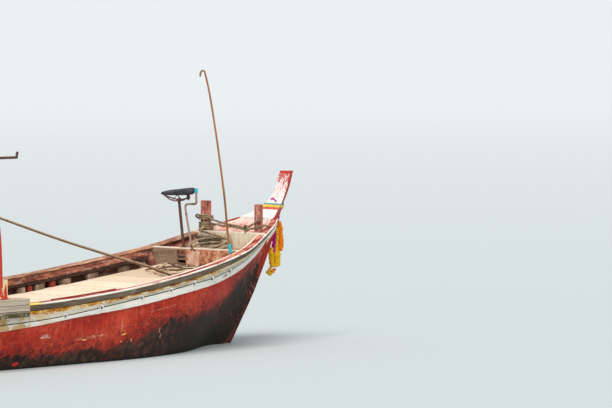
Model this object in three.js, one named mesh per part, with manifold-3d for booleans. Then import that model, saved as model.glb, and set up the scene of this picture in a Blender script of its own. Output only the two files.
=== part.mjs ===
// Longtail boat, in millimetres. +X points to the bow, +Y to port and +Z up.
// The origin is amidships on the centreline, at the waterline.
import * as THREE from "three";
import { mergeVertices } from "three/addons/utils/BufferGeometryUtils.js";
import Module from "manifold-3d";

const wasm = await Module();
wasm.setup();

// Driving dimensions of the hull
const GAP = 0.4;
const PLANK = 25;
const KEEL_HALF = 36;
const KEEL_DEPTH = 45;
const KEEL_INSIDE = 40;
const STEM_DEPTH = 210;
const TRANSOM_X = -4000;
const TRANSOM_THICK = 45;
const PLANK_BOW_X = 3780;
const STRAKE_BOW_X = 3735;
const RAIL_BOW_X = 3780;
const CAP_THICK = 16;
const CAP_OVERHANG = 30;
const CAP_WIDTH = 108;
const CAP_BOW_X = 3650;
const CAP_EDGE_LEFT = 28;
const RAIL_HEIGHT = 44;
const RAIL_THICK = 24;
const STRAKE_HEIGHT = 106;
const STRAKE_THICK = 16;
const STRIP_JOINT = 5;
const STRIP_OFF = 1;
const INWALE_THICK = 18;
const INWALE_HEIGHT = 76;
const INWALE_INSET = 68;
const INWALE_BOW_X = 2770;
const INWALE_DROP = 4;
const RIB_THICK = 32;
const RIB_WIDTH = 46;
const RIB_STEP = 505;
const RIB_FIRST_X = -3830;
const RIB_LAST_X = 2720;
const RIB_CLEARANCE = 7;
const KEEL_CLEARANCE = 3;
const KEELSON_HALF = 42;
const KEELSON_TOP = 110;
const FLOOR_TIMBER = 105;
const HEAD_BASE_Z = 1096;
const GUARD_AFT_X = -900;
const GUARD_FORE_X = -140;
const GUARD_ABOVE = 50;
const GUARD_BELOW = 100;
const GUARD_THICK = 44;

// Driving dimensions of the decks and bulkheads
const DECK_DROP = 150;
const DECK_THICK = 26;
const DECK_AFT_X = -400;
const FORE_BULKHEAD_X = 2852;
const WELL_BULKHEAD_X = 3250;
const BULKHEAD_THICK = 32;
const DECK_PANELS = [4, 4, 3, 3];
const BOARD_JOINT = 4;
const HELM_DECK_Z = 330;
const HELM_BULKHEAD_X = -3060;
const THWART_Z = 330;
const THWART_WIDTH = 250;
const THWART_THICK = 30;
const WELL_FLOOR_Z = 778;
const WELL_BULKHEAD_FOOT_Z = 290;
const WELL_BULKHEAD_RISE = 18;
const SEAT_RISE = 3;
const BEAM_HEIGHT = 70;
const BEAM_CLEARANCE = 24;
const CLEAT_THICK = 28;
const CLEAT_Y = 330;
const CLEAT_HALF = 35;
const CLEAT_ROOM = 560;
const DECK_SIDE_GAP = 18;
const PORT_ENDS = [0, 16, -8, 20, 4, -6, 14];
const SLATS_Y = [118, 228];
const POST_THICK = 40;
const POST_GAP = 6;
const POST_FOOT_Z = 560;
const POLE_STEP = { x: 2800, y: -480, z: 788 };

// Driving dimensions of the canopy
const CANOPY_POST_R = 22;
const CANOPY_EAVE_Z = 1740;
const CANOPY_CROWN_Z = 1930;
const CANOPY_HALF = 900;
const SKIRT_Y = CANOPY_HALF + 62;
const SKIRT_LOW_Z = 1660;
const ROOF_RAIL_R = 11;

// Driving dimensions of the long-tail drive, about the yoke's cross pin
const PIVOT_X = -3925;
const PIVOT_Z = 1010;
const REST_ANGLE = THREE.MathUtils.degToRad(5);
const TUBE_R = 26;
const TAIL_LENGTH = 2650;
const PROP_R = 150;
const TILLER_REACH = 1240;
const ENGINE_AFT_X = 110;
const CRADLE_Z = -44;
const ENGINE_BASE_Z = -31;

// Hull stations, port side. Each row is one section: its keel edge, the two control points of the
// curve up to the planking's top, and the cap rail's outer top edge.
const STATION_COLUMNS = [
  "x", "keelY", "keelZ", "floorY", "floorZ", "sideY", "sideZ", "capY", "capZ",
];
const STATIONS = [
  [-4050, 37, -40, 380, -70, 600, 60, 690, 700],
  [-3300, 37, -200, 430, -230, 700, -60, 840, 612],
  [-2300, 37, -285, 560, -310, 850, -150, 965, 562],
  [-1200, 37, -300, 610, -325, 900, -170, 1015, 542],
  [-100, 37, -300, 610, -325, 890, -165, 1002, 545],
  [600, 37, -298, 580, -320, 880, -160, 962, 574],
  [1400, 37, -290, 480, -305, 890, -165, 860, 632],
  [2200, 38, -255, 215, -255, 620, -170, 770, 735],
  [2870, 46, -178, 55, -112, 128, 96, 620, 853],
  [3270, 54, 121, 60, 300, 125, 530, 455, 970],
  [3540, 52, 536, 56, 670, 100, 830, 318, 1055],
  [3700, 50, 841, 53, 900, 66, 985, 195, 1104],
  [3820, 47, 1056, 47, 1066, 48, 1076, 82, 1108],
].map((row) => Object.fromEntries(row.map((v, i) => [STATION_COLUMNS[i], v])));

// Stem's fore edge from the forefoot to the head, as x and z
const STEM_EDGE = [
  [2868, -228], [3030, -170], [3160, -90], [3255, 0], [3396, 201], [3501, 354], [3576, 474],
  [3640, 590], [3704, 705], [3742, 785], [3815, 930], [3868, 1050], [3889, 1096],
];

// Prow head's level sections: the aft face's place and half width, the fore edge's place and half width
const HEAD_COLUMNS = ["z", "aftX", "aftHalf", "foreX", "foreHalf"];
const HEAD_SECTIONS = [
  [1096, 3622, 203, 3890, 35],
  [1124, 3694, 162, 3903, 35],
  [1165, 3777, 114, 3922, 35],
  [1210, 3836, 94, 3942, 34],
  [1292, 3904, 75, 3991, 33],
  [1380, 3948, 71, 4034, 32],
  [1497, 4000, 69, 4075, 30],
].map((row) => Object.fromEntries(row.map((v, i) => [HEAD_COLUMNS[i], v])));

const boat = new THREE.Group();
const V3 = (x, y, z) => new THREE.Vector3(x, y, z);

// Materials, by name
const MATERIALS = {
  redPaint: [0x9c3a2a, 0.75, 0],
  whitePaint: [0xd8d2c2, 0.7, 0],
  greyWood: [0x8a8577, 0.9, 0],
  creamWood: [0xd8c9a4, 0.85, 0],
  darkWood: [0x5a3a30, 0.9, 0],
  pinkPaint: [0xc98d84, 0.8, 0],
  rawWood: [0xa08262, 0.85, 0],
  bamboo: [0x8f6b3f, 0.6, 0],
  blackVinyl: [0x1b1b1d, 0.5, 0],
  rustySteel: [0x4a3a34, 0.7, 0.6],
  galvanised: [0x8d9296, 0.5, 0.8],
  castMetal: [0x6b7074, 0.5, 0.8],
  enginePaint: [0xb23a22, 0.4, 0.1],
  brass: [0xb08a3c, 0.4, 0.9],
  canvas: [0x2f6f8a, 0.9, 0],
  rope: [0xa18a63, 0.95, 0],
  flowers: [0xe8a21c, 0.8, 0],
  cloth: [0xc2a11e, 0.9, 0],
};

function material(name) {
  const [color, roughness, metalness] = MATERIALS[name];
  return new THREE.MeshStandardMaterial({ color, roughness, metalness });
}

// Closed geometry to a solid, and back
function solid(geometry) {
  const bare = geometry.clone();
  bare.deleteAttribute("normal");
  bare.deleteAttribute("uv");
  const merged = mergeVertices(bare, 1e-3);
  return new wasm.Manifold(
    new wasm.Mesh({
      numProp: 3,
      vertProperties: new Float32Array(merged.attributes.position.array),
      triVerts: new Uint32Array(merged.index.array),
    }),
  );
}

function shape(made) {
  const mesh = made.getMesh();
  const geometry = new THREE.BufferGeometry();
  geometry.setAttribute("position", new THREE.BufferAttribute(mesh.vertProperties, 3));
  geometry.setIndex(new THREE.BufferAttribute(mesh.triVerts, 1));
  geometry.computeVertexNormals();
  return geometry;
}

const join = (...pieces) => shape(pieces.map(solid).reduce((a, b) => a.add(b)));
const cut = (piece, ...tools) =>
  shape(tools.map(solid).reduce((a, b) => a.subtract(b), solid(piece)));
const common = (a, b) => shape(solid(a).intersect(solid(b)));

function node(name, geometry, materialName, parent = boat) {
  const mesh = new THREE.Mesh(geometry, material(materialName));
  mesh.name = name;
  parent.add(mesh);
  return mesh;
}

const mirrored = (geometry) => {
  const flipped = geometry.index ? geometry.toNonIndexed() : geometry.clone();
  const p = flipped.attributes.position;
  for (let i = 0; i < p.count; i += 3) {
    const corners = [0, 1, 2].map((k) => V3(p.getX(i + k), -p.getY(i + k), p.getZ(i + k)));
    [0, 2, 1].forEach((from, to) => p.setXYZ(i + to, corners[from].x, corners[from].y, corners[from].z));
  }
  return mergeVertices(new THREE.BufferGeometry().setAttribute("position", p.clone()), 1e-3);
};

// A closed body through rings of equal count, each ring in a plane across `axis`
function loft(rings, flat = (p) => [p.y, p.z]) {
  const count = rings[0].length;
  const position = rings.flat().flatMap((p) => [p.x, p.y, p.z]);
  const index = [];
  for (let r = 0; r + 1 < rings.length; r++) {
    for (let i = 0; i < count; i++) {
      const j = (i + 1) % count;
      const [a, b, c, d] = [r * count + i, r * count + j, (r + 1) * count + j, (r + 1) * count + i];
      index.push(a, b, c, a, c, d);
    }
  }
  for (const [ring, offset] of [[rings[0], 0], [rings.at(-1), (rings.length - 1) * count]]) {
    const outline = ring.map((p) => new THREE.Vector2(...flat(p)));
    const clockwise = THREE.ShapeUtils.isClockWise(outline);
    for (const face of THREE.ShapeUtils.triangulateShape(outline, [])) {
      const ordered = (offset === 0) !== clockwise ? [...face].reverse() : face;
      index.push(...ordered.map((i) => i + offset));
    }
  }
  const geometry = new THREE.BufferGeometry();
  geometry.setAttribute("position", new THREE.Float32BufferAttribute(position, 3));
  geometry.setIndex(index);
  return facingOut(geometry);
}

function facingOut(geometry) {
  const made = solid(geometry);
  if (made.volume() >= 0) return geometry;
  const index = geometry.index.array;
  for (let i = 0; i < index.length; i += 3) [index[i + 1], index[i + 2]] = [index[i + 2], index[i + 1]];
  return geometry;
}

function box(x0, x1, y0, y1, z0, z1) {
  const geometry = new THREE.BoxGeometry(x1 - x0, y1 - y0, z1 - z0);
  return geometry.translate((x0 + x1) / 2, (y0 + y1) / 2, (z0 + z1) / 2);
}

// A straight round bar from a to b
function bar(a, b, radius, sides = 12, endRadius = radius) {
  const geometry = new THREE.CylinderGeometry(endRadius, radius, a.distanceTo(b), sides);
  const turn = new THREE.Quaternion().setFromUnitVectors(V3(0, 1, 0), b.clone().sub(a).normalize());
  return geometry.applyQuaternion(turn).translate(...a.clone().add(b).multiplyScalar(0.5).toArray());
}

// A round tube through points
function pipe(points, radius, sides = 8, steps = 24) {
  const ring = new THREE.Shape();
  ring.absarc(0, 0, radius, 0, 2 * Math.PI, false);
  const path = new THREE.CatmullRomCurve3(points, false, "centripetal");
  const outline = new THREE.Shape(ring.getSpacedPoints(sides).slice(0, sides));
  return new THREE.ExtrudeGeometry(outline, { steps, extrudePath: path, bevelEnabled: false });
}

// A flat outline in x and z, from y0 to y1
function slab(points, y0, y1) {
  const outline = new THREE.Shape(points.map(([x, z]) => new THREE.Vector2(x, z)));
  const geometry = new THREE.ExtrudeGeometry(outline, { depth: y1 - y0, bevelEnabled: false });
  return geometry.rotateX(Math.PI / 2).translate(0, y1, 0);
}

// Smooth value of one station column at x
function column(x, key) {
  const rows = STATIONS;
  let i = rows.findIndex((row) => row.x > x) - 1;
  if (x <= rows[0].x) i = 0;
  if (i < 0) i = rows.length - 2;
  const slope = (k) => {
    const a = rows[Math.max(k - 1, 0)];
    const b = rows[Math.min(k + 1, rows.length - 1)];
    return (b[key] - a[key]) / (b.x - a.x);
  };
  const [a, b] = [rows[i], rows[i + 1]];
  const span = b.x - a.x;
  const u = THREE.MathUtils.clamp((x - a.x) / span, 0, 1);
  const [u2, u3] = [u * u, u * u * u];
  return (
    a[key] * (2 * u3 - 3 * u2 + 1) + slope(i) * span * (u3 - 2 * u2 + u) +
    b[key] * (3 * u2 - 2 * u3) + slope(i + 1) * span * (u3 - u2)
  );
}

const capY = (x) => column(x, "capY");
const capZ = (x) => column(x, "capZ");
const sheerY = (x) => capY(x) - CAP_OVERHANG;
const sheerZ = (x) => capZ(x) - CAP_THICK - GAP;
const deckZ = (x) => capZ(x) - DECK_DROP;

// Planking's outer face at x, for port: t runs from 0 at the keel to 1 at the sheer
function sectionCurve(x) {
  return new THREE.CubicBezierCurve(
    new THREE.Vector2(column(x, "keelY"), column(x, "keelZ")),
    new THREE.Vector2(column(x, "floorY"), column(x, "floorZ")),
    new THREE.Vector2(column(x, "sideY"), column(x, "sideZ")),
    new THREE.Vector2(sheerY(x), sheerZ(x)),
  );
}

// Point of the section, pushed outwards by `out` millimetres; negative is inwards
function skin(x, t, out = 0) {
  const curve = sectionCurve(x);
  const p = curve.getPoint(t);
  const along = curve.getTangent(t);
  const z = Math.min(p.y - along.x * out, sheerZ(x));
  return new THREE.Vector2(Math.max(p.x + along.y * out, KEEL_HALF + GAP), z);
}

// Parameter on the section that lies `drop` millimetres below the sheer along the curve
function below(x, drop) {
  const curve = sectionCurve(x);
  return curve.getUtoTmapping(1 - Math.min(drop / curve.getLength(), 1));
}

const steps = (a, b, n) => Array.from({ length: n + 1 }, (_, i) => a + ((b - a) * i) / n);

// Stations for lofts, closer together towards the bow
function lofting(x0, x1) {
  const inner = [
    -3700, -3200, -2600, -1900, -1200, -500, 200, 700, 1150, 1550, 1900, 2200, 2450, 2700, 2900, 3080,
    3240, 3380, 3500, 3610, 3680, 3735,
  ].filter((x) => x > x0 + 40 && x < x1 - 40);
  return [x0, ...inner, x1];
}

// Point of the topside, `drop` millimetres below the sheer, on the flat faces that the strakes lie on
function sidePoint(x, drop, out) {
  const breaks = [0, RAIL_HEIGHT, RAIL_HEIGHT + STRAKE_HEIGHT];
  const curve = sectionCurve(x);
  const k = drop < RAIL_HEIGHT ? 0 : 1;
  const [high, low] = [breaks[k], breaks[k + 1]].map((d) => curve.getPoint(below(x, d)));
  const along = high.clone().sub(low).normalize();
  const u = (drop - breaks[k]) / (breaks[k + 1] - breaks[k]);
  const p = high.lerp(low, u).add(new THREE.Vector2(along.y, -along.x).multiplyScalar(out));
  return new THREE.Vector2(p.x, Math.min(p.y, sheerZ(x)));
}

// A strip on the topside between two drops from the sheer, from the transom's aft face to x1
function topsideStrip(x1, dropTop, dropLow, thick) {
  const rings = [TRANSOM_X - TRANSOM_THICK, ...lofting(TRANSOM_X + GAP, x1)].map((x) => {
    const corners = [[dropTop, thick], [dropLow, thick], [dropLow, STRIP_OFF], [dropTop, STRIP_OFF]];
    return corners.map(([drop, out]) => sidePoint(x, drop, out)).map((p) => V3(x, p.x, p.y));
  });
  return loft(rings);
}

// Parameters of the section's facets, from keel to sheer
function facets(x) {
  return [...steps(0, below(x, RAIL_HEIGHT + STRAKE_HEIGHT), 6), below(x, RAIL_HEIGHT), 1];
}

function planking() {
  const rings = lofting(TRANSOM_X + GAP, PLANK_BOW_X).map((x) => {
    const outer = facets(x).map((t) => skin(x, t));
    const inner = facets(x).map((t) => skin(x, t, -PLANK)).reverse();
    return [...outer, ...inner].map((p) => V3(x, p.x, p.y));
  });
  return loft(rings);
}

// Room inside the planking, open above: both sides, `inset` millimetres in from the outer face
function interior(inset, x0 = TRANSOM_X + GAP, x1 = 3720) {
  const rings = lofting(x0, x1).map((x) => {
    const side = facets(x).map((t) => skin(x, t, -inset)).reverse();
    const [sheer, keelEdge] = [side[0], side.at(-1)];
    const closing = [[-1, keelEdge.y], [-1, sheer.y + 1500], [sheer.x, sheer.y + 1500]];
    return [...side.map((p) => V3(x, p.x, p.y)), ...closing.map(([y, z]) => V3(x, y, z))];
  });
  const port = loft(rings);
  return join(port, mirrored(port));
}

// Backbone
function stemPoints() {
  const edge = new THREE.CatmullRomCurve3(STEM_EDGE.map(([x, z]) => V3(x, 0, z)), false, "centripetal");
  return edge.getSpacedPoints(26);
}

function keel() {
  const xs = lofting(TRANSOM_X + GAP, 2868);
  const low = xs.map((x) => [x, column(x, "keelZ") - KEEL_DEPTH]);
  const high = [...xs].reverse().map((x) => [x, column(x, "keelZ") + KEEL_INSIDE]);
  return slab([...low, ...high], -KEEL_HALF, KEEL_HALF);
}

function stemPost() {
  const fore = stemPoints().map((p) => [p.x, p.z]);
  fore[0] = [2868 + GAP, column(2868, "keelZ") - KEEL_DEPTH];
  const aft = steps(0, 1, 12).reverse().map((u) => {
    const x = THREE.MathUtils.lerp(2868 + GAP, PLANK_BOW_X - 110, u);
    return [x, column(x, "keelZ") + THREE.MathUtils.lerp(KEEL_INSIDE, STEM_DEPTH, u)];
  });
  const top = [[PLANK_BOW_X - 110, HEAD_BASE_Z - GAP]];
  const last = fore.at(-1);
  fore[fore.length - 1] = [last[0], HEAD_BASE_Z - GAP];
  return slab([...fore, ...top, ...aft.filter(([, z]) => z < HEAD_BASE_Z - 20)], -KEEL_HALF, KEEL_HALF);
}

function prowHead() {
  const rings = HEAD_SECTIONS.map((s) => [
    V3(s.aftX, s.aftHalf, s.z),
    V3(s.aftX, -s.aftHalf, s.z),
    V3(s.foreX, -s.foreHalf, s.z),
    V3(s.foreX, s.foreHalf, s.z),
  ]);
  return loft(rings, (p) => [p.x, p.y]);
}

// Board laid flat on the sheer, its outer top edge on the measured line; `grow` adds clearance
function capRail(grow = 0) {
  const rings = [TRANSOM_X - TRANSOM_THICK, ...lofting(TRANSOM_X + GAP, CAP_BOW_X)].map((x) => {
    const [inner, outer] = [Math.max(capY(x) - CAP_WIDTH, 12) - grow, capY(x) + grow];
    const [low, high] = [capZ(x) - CAP_THICK - grow, capZ(x) + grow];
    return [V3(x, inner, low), V3(x, outer, low), V3(x, outer, high), V3(x, inner, high)];
  });
  return loft(rings);
}

function transom() {
  const ring = (x) => {
    const port = facets(TRANSOM_X).map((t) => skin(x, t)).map((p) => new THREE.Vector2(p.x, p.y - GAP));
    const starboard = [...port].reverse().map((p) => new THREE.Vector2(-p.x, p.y));
    return [...port, ...starboard].map((p) => V3(x, p.x, p.y));
  };
  return loft([ring(TRANSOM_X - TRANSOM_THICK), ring(TRANSOM_X - GAP)]);
}

const ribPlaces = steps(RIB_FIRST_X, RIB_LAST_X, Math.round((RIB_LAST_X - RIB_FIRST_X) / RIB_STEP));
const insidePlanking = interior(PLANK + GAP);
const hullStations = lofting(TRANSOM_X + GAP, PLANK_BOW_X);

// Value of a function of x on the straight run between two hull stations
function chord(x, value) {
  const i = Math.min(Math.max(hullStations.findIndex((at) => at > x) - 1, 0), hullStations.length - 2);
  const [a, b] = [hullStations[i], hullStations[i + 1]];
  return THREE.MathUtils.lerp(value(a), value(b), (x - a) / (b - a));
}

// Port points from keel to sheer, `inset` millimetres inside the planking's outer face, on its flat faces
function wallPoints(x, inset) {
  return facets(x).map((_, k) => new THREE.Vector2(
    chord(x, (at) => skin(at, facets(at)[k], -inset).x),
    chord(x, (at) => skin(at, facets(at)[k], -inset).y),
  ));
}

// Half breadth of the planking's outer face at x and height z
function wallY(x, z) {
  const curve = sectionCurve(x);
  let [low, high] = [0, 1];
  for (let i = 0; i < 30; i++) {
    const middle = (low + high) / 2;
    if (curve.getPoint(middle).y < z) low = middle;
    else high = middle;
  }
  return curve.getPoint(low).x;
}

// Half breadth clear of the ribs
const roomY = (x, z) => wallY(x, z) - PLANK - RIB_THICK - 8;

// Outline at x of the curved frame centred on `middle`: along the planking, round the heads, over the timber
function ribOutline(x, middle) {
  const [outer, inner] = [PLANK + RIB_CLEARANCE, PLANK + RIB_THICK];
  const heads = chord(middle, sheerZ) - 14;
  const timberTop = chord(middle, (at) => column(at, "keelZ")) + FLOOR_TIMBER;
  const side = (inset, low) => {
    const kept = wallPoints(middle, inset).map((p) => p.y > low && p.y < heads - 5);
    const points = wallPoints(x, inset);
    const at = (a, b, z) => a.clone().lerp(b, (z - a.y) / (b.y - a.y));
    const [first, last] = [kept.indexOf(true), kept.lastIndexOf(true)];
    const foot = first > 0 ? [at(points[first - 1], points[first], low - 5)] : [];
    return [...foot, ...points.filter((_, k) => kept[k]), at(points[last], points[last + 1], heads)];
  };
  const keelTop = chord(x, (at) => column(at, "keelZ")) + KEEL_INSIDE + KEEL_CLEARANCE;
  const port = [
    new THREE.Vector2(KEEL_HALF + KEEL_CLEARANCE, keelTop), ...side(outer, -1000).slice(1),
    ...side(inner, timberTop + 5).reverse(),
  ];
  const starboard = [...port].reverse().map((p) => new THREE.Vector2(-p.x, p.y));
  return [...port, ...starboard];
}

// Curved frames joined by the keelson, with beams under the fore deck
function ribFrames() {
  const keelAt = (x) => chord(x, (at) => column(at, "keelZ"));
  const xs = lofting(RIB_FIRST_X - 30, RIB_LAST_X + 40);
  const low = xs.map((x) => [x, keelAt(x) + KEEL_INSIDE + KEEL_CLEARANCE]);
  const high = xs.map((x) => [x, keelAt(x) + KEELSON_TOP]).reverse();
  let frames = solid(slab([...low, ...high], -KEELSON_HALF, KEELSON_HALF));
  for (const x of ribPlaces) {
    const ring = (at) => ribOutline(at, x).map((p) => V3(at, p.x, p.y));
    frames = frames.add(solid(loft([ring(x - RIB_WIDTH / 2), ring(x + RIB_WIDTH / 2)])));
    if (x < DECK_AFT_X) continue;
    const top = deckZ(x) - DECK_THICK - CLEAT_THICK - 9;
    const half = wallY(x, top - BEAM_HEIGHT) - PLANK - BEAM_CLEARANCE;
    frames = frames.add(solid(box(x - 20, x + 20, -half, half, top - BEAM_HEIGHT, top)));
  }
  return shape(frames);
}

// Board under the cap rail, on the rib heads
function inwale() {
  const rings = lofting(TRANSOM_X + 30, INWALE_BOW_X).map((x) => {
    const top = sheerZ(x) - INWALE_DROP;
    const low = top - INWALE_HEIGHT;
    const at = (z, inset) => V3(x, wallY(x, z) - inset, z);
    return [
      at(low, INWALE_INSET + INWALE_THICK), at(low, INWALE_INSET),
      at(top, INWALE_INSET), at(top, INWALE_INSET + INWALE_THICK),
    ];
  });
  return loft(rings);
}

// Lengthwise ledge on the ribs that carries the thwarts
function riser() {
  const rings = lofting(HELM_BULKHEAD_X + 60, -480).map((x) => {
    const [low, high] = [THWART_Z - THWART_THICK - 44, THWART_Z - THWART_THICK - GAP];
    const at = (z, inset) => V3(x, wallY(x, z) - inset, z);
    const [outer, inner] = [INWALE_INSET + 6, INWALE_INSET + 30];
    return [at(low, inner), at(low, outer), at(high, outer), at(high, inner)];
  });
  return loft(rings);
}

// Boards stacked over the cap rail's edge, where the canopy's front posts stand
function sideGuard() {
  const rings = steps(GUARD_AFT_X, GUARD_FORE_X, 3).map((x) => {
    const [inner, edge, top] = [capY(x) - 100, capY(x) + GAP, capZ(x) + GUARD_ABOVE];
    const low = capZ(x) - GUARD_BELOW;
    return [
      V3(x, inner, capZ(x) - 2), V3(x, edge - 3, capZ(x) - 2), V3(x, edge - 3, low),
      V3(x, edge + GUARD_THICK, low), V3(x, edge + GUARD_THICK, top), V3(x, inner, top),
    ];
  });
  return cut(loft(rings), capRail(GAP));
}

// Board across the hull between two heights, trimmed to the planking
function bulkhead(x0, low, high) {
  const x1 = x0 + BULKHEAD_THICK;
  const board = common(box(x0, x1, -1200, 1200, low, high), insidePlanking);
  const notchTop = column(x0, "keelZ") + KEELSON_TOP + 16;
  return cut(board, box(x0 - 5, x1 + 5, -KEELSON_HALF - 3, KEELSON_HALF + 3, -500, notchTop));
}

// Bulkhead at the fore deck's end: a grey board, an open slatted stretch and a worn board
function foreBulkhead() {
  const [x0, x1] = [FORE_BULKHEAD_X, FORE_BULKHEAD_X + BULKHEAD_THICK];
  const deck = deckZ(x0);
  const top = capZ(x0) + 2;
  const half = capY(x0) - CAP_EDGE_LEFT;
  const lower = bulkhead(x0, -300, deck - 40);
  const seat = sheerZ(x1) + SEAT_RISE;
  const upper = common(box(x0, x1, -half, half, deck - 41, seat + 1), insidePlanking);
  const crown = box(x0, x1, -half, half, seat, top);
  const slatRoom = box(x0 - 5, x1 + 5, SLATS_Y[0], SLATS_Y[1], deck + 12, top - 26);
  const slats = steps(0, 1, 1).map((i) =>
    box(x0 + 6, x0 + 20, SLATS_Y[0] - 2, SLATS_Y[1] + 2, deck + 42 + 38 * i, deck + 56 + 38 * i));
  const { x, y, z } = POLE_STEP;
  const poleStep = box(x - 26, x0 + 1, y - 26, y + 26, z - 26, z - GAP);
  return join(lower, cut(join(upper, crown), slatRoom), ...slats, poleStep);
}

function wellBulkhead() {
  const [x0, x1] = [WELL_BULKHEAD_X, WELL_BULKHEAD_X + BULKHEAD_THICK];
  const half = capY(x0) - CAP_EDGE_LEFT;
  const seat = sheerZ(x1) + SEAT_RISE;
  const lower = bulkhead(x0, WELL_BULKHEAD_FOOT_Z, seat + 1);
  return join(lower, box(x0, x1, -half, half, seat, capZ(x0) + WELL_BULKHEAD_RISE));
}

// Room that a bulkhead needs through the cap rails
function bulkheadRoom(x0) {
  const half = capY(x0) - CAP_EDGE_LEFT + GAP;
  return box(x0 - GAP, x0 + BULKHEAD_THICK + GAP, -half, half, 0, 1400);
}

// A panel of deck boards on a pair of cleats; the port ends step in and out as they were sawn
function deckPanel(index) {
  const edges = steps(DECK_AFT_X, FORE_BULKHEAD_X - 4, DECK_PANELS.reduce((a, b) => a + b));
  const first = DECK_PANELS.slice(0, index).reduce((a, b) => a + b, 0);
  const count = DECK_PANELS[index];
  const boards = steps(first, first + count - 1, count - 1).map((k) => {
    const ring = (x) => {
      const top = deckZ(x);
      const low = top - DECK_THICK;
      const half = roomY(x, top) - DECK_SIDE_GAP;
      const port = half - PORT_ENDS[k % PORT_ENDS.length];
      return [V3(x, -half, low), V3(x, port, low), V3(x, port, top), V3(x, -half, top)];
    };
    return loft([ring(edges[k] + BOARD_JOINT / 2), ring(edges[k + 1] - BOARD_JOINT / 2)]);
  });
  const joints = edges.slice(first, first + count + 1);
  const cleatXs = [joints[0] + 30, ...joints.slice(1, -1), joints.at(-1) - 30];
  const cleats = [-1, 1].map((side) => {
    const ring = (x) => {
      const top = deckZ(x) - DECK_THICK + 1;
      const low = top - CLEAT_THICK;
      const y = side * CLEAT_Y * Math.min(1, roomY(x, top) / CLEAT_ROOM);
      const [y0, y1] = [y - CLEAT_HALF, y + CLEAT_HALF];
      return [V3(x, y0, low), V3(x, y1, low), V3(x, y1, top), V3(x, y0, top)];
    };
    return loft(cleatXs.map(ring));
  });
  return join(...boards, ...cleats);
}

// Level floor of the rope well
function wellFloor() {
  const [a, b] = [FORE_BULKHEAD_X + BULKHEAD_THICK + 3, WELL_BULKHEAD_X - 3];
  return common(box(a, b, -900, 900, WELL_FLOOR_Z - DECK_THICK, WELL_FLOOR_Z), interior(PLANK + 3));
}

// Raised boards forward of the well, level with the cap rails
function bowPlatform() {
  const [a, b] = [WELL_BULKHEAD_X + BULKHEAD_THICK + 3, CAP_BOW_X - 34];
  const rings = steps(a, b, 5).map((x) => {
    const half = Math.max(capY(x) - CAP_WIDTH - 8, 20);
    const top = capZ(x) - 4;
    return [V3(x, -half, top - 30), V3(x, half, top - 30), V3(x, half, top), V3(x, -half, top)];
  });
  return loft(rings);
}

// Plank-like mooring posts beside the bow platform, with their feet against the planking
function mooringPost({ y0, y1, top }) {
  const x0 = WELL_BULKHEAD_X + BULKHEAD_THICK + POST_GAP;
  const x1 = x0 + POST_THICK;
  const seat = sheerZ(x1) + SEAT_RISE;
  const foot = common(box(x0, x1, y0, y1, POST_FOOT_Z, seat + 1), insidePlanking);
  return join(foot, box(x0, x1, y0, y1, seat, top));
}

function postRoom({ y0, y1 }) {
  const x0 = WELL_BULKHEAD_X + BULKHEAD_THICK + POST_GAP;
  return box(x0 - GAP, x0 + POST_THICK + GAP, y0 - GAP, y1 + GAP, 0, 1400);
}

// Lengthwise boards on the floor timbers, held together by foot cleats on top
function bottomBoards() {
  const xs = steps(HELM_BULKHEAD_X + BULKHEAD_THICK + 20, DECK_AFT_X + 700, 6);
  const plank = (y0, y1, rise, thick) => (x) => {
    const low = column(x, "keelZ") + KEELSON_TOP + rise;
    return [V3(x, y0, low), V3(x, y1, low), V3(x, y1, low + thick), V3(x, y0, low + thick)];
  };
  const boards = steps(-2, 2, 4).map((k) => loft(xs.map(plank(k * 160 - 74, k * 160 + 74, 10, 22))));
  const cleats = steps(xs[0] + 150, xs.at(-1) - 150, 3).map((x) =>
    loft([x - 25, x + 25].map(plank(-390, 390, 31, 20))));
  return join(...boards, ...cleats);
}

function thwart(x) {
  const ring = (at) => {
    const half = roomY(at, THWART_Z - THWART_THICK) - 6;
    const [low, high] = [THWART_Z - THWART_THICK, THWART_Z];
    return [V3(at, -half, low), V3(at, half, low), V3(at, half, high), V3(at, -half, high)];
  };
  return loft([ring(x - THWART_WIDTH / 2), ring(x + THWART_WIDTH / 2)]);
}

function helmDeck() {
  const rings = lofting(TRANSOM_X + 6, HELM_BULKHEAD_X + BULKHEAD_THICK).map((x) => {
    const half = roomY(x, HELM_DECK_Z - DECK_THICK) - 4;
    const [low, high] = [HELM_DECK_Z - DECK_THICK, HELM_DECK_Z];
    return [V3(x, -half, low), V3(x, half, low), V3(x, half, high), V3(x, -half, high)];
  });
  return loft(rings);
}

const MOORING_POSTS = {
  port: { y0: 269, y1: 360, top: 1245 },
  starboard: { y0: -362, y1: -296, top: 1228 },
};

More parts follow.
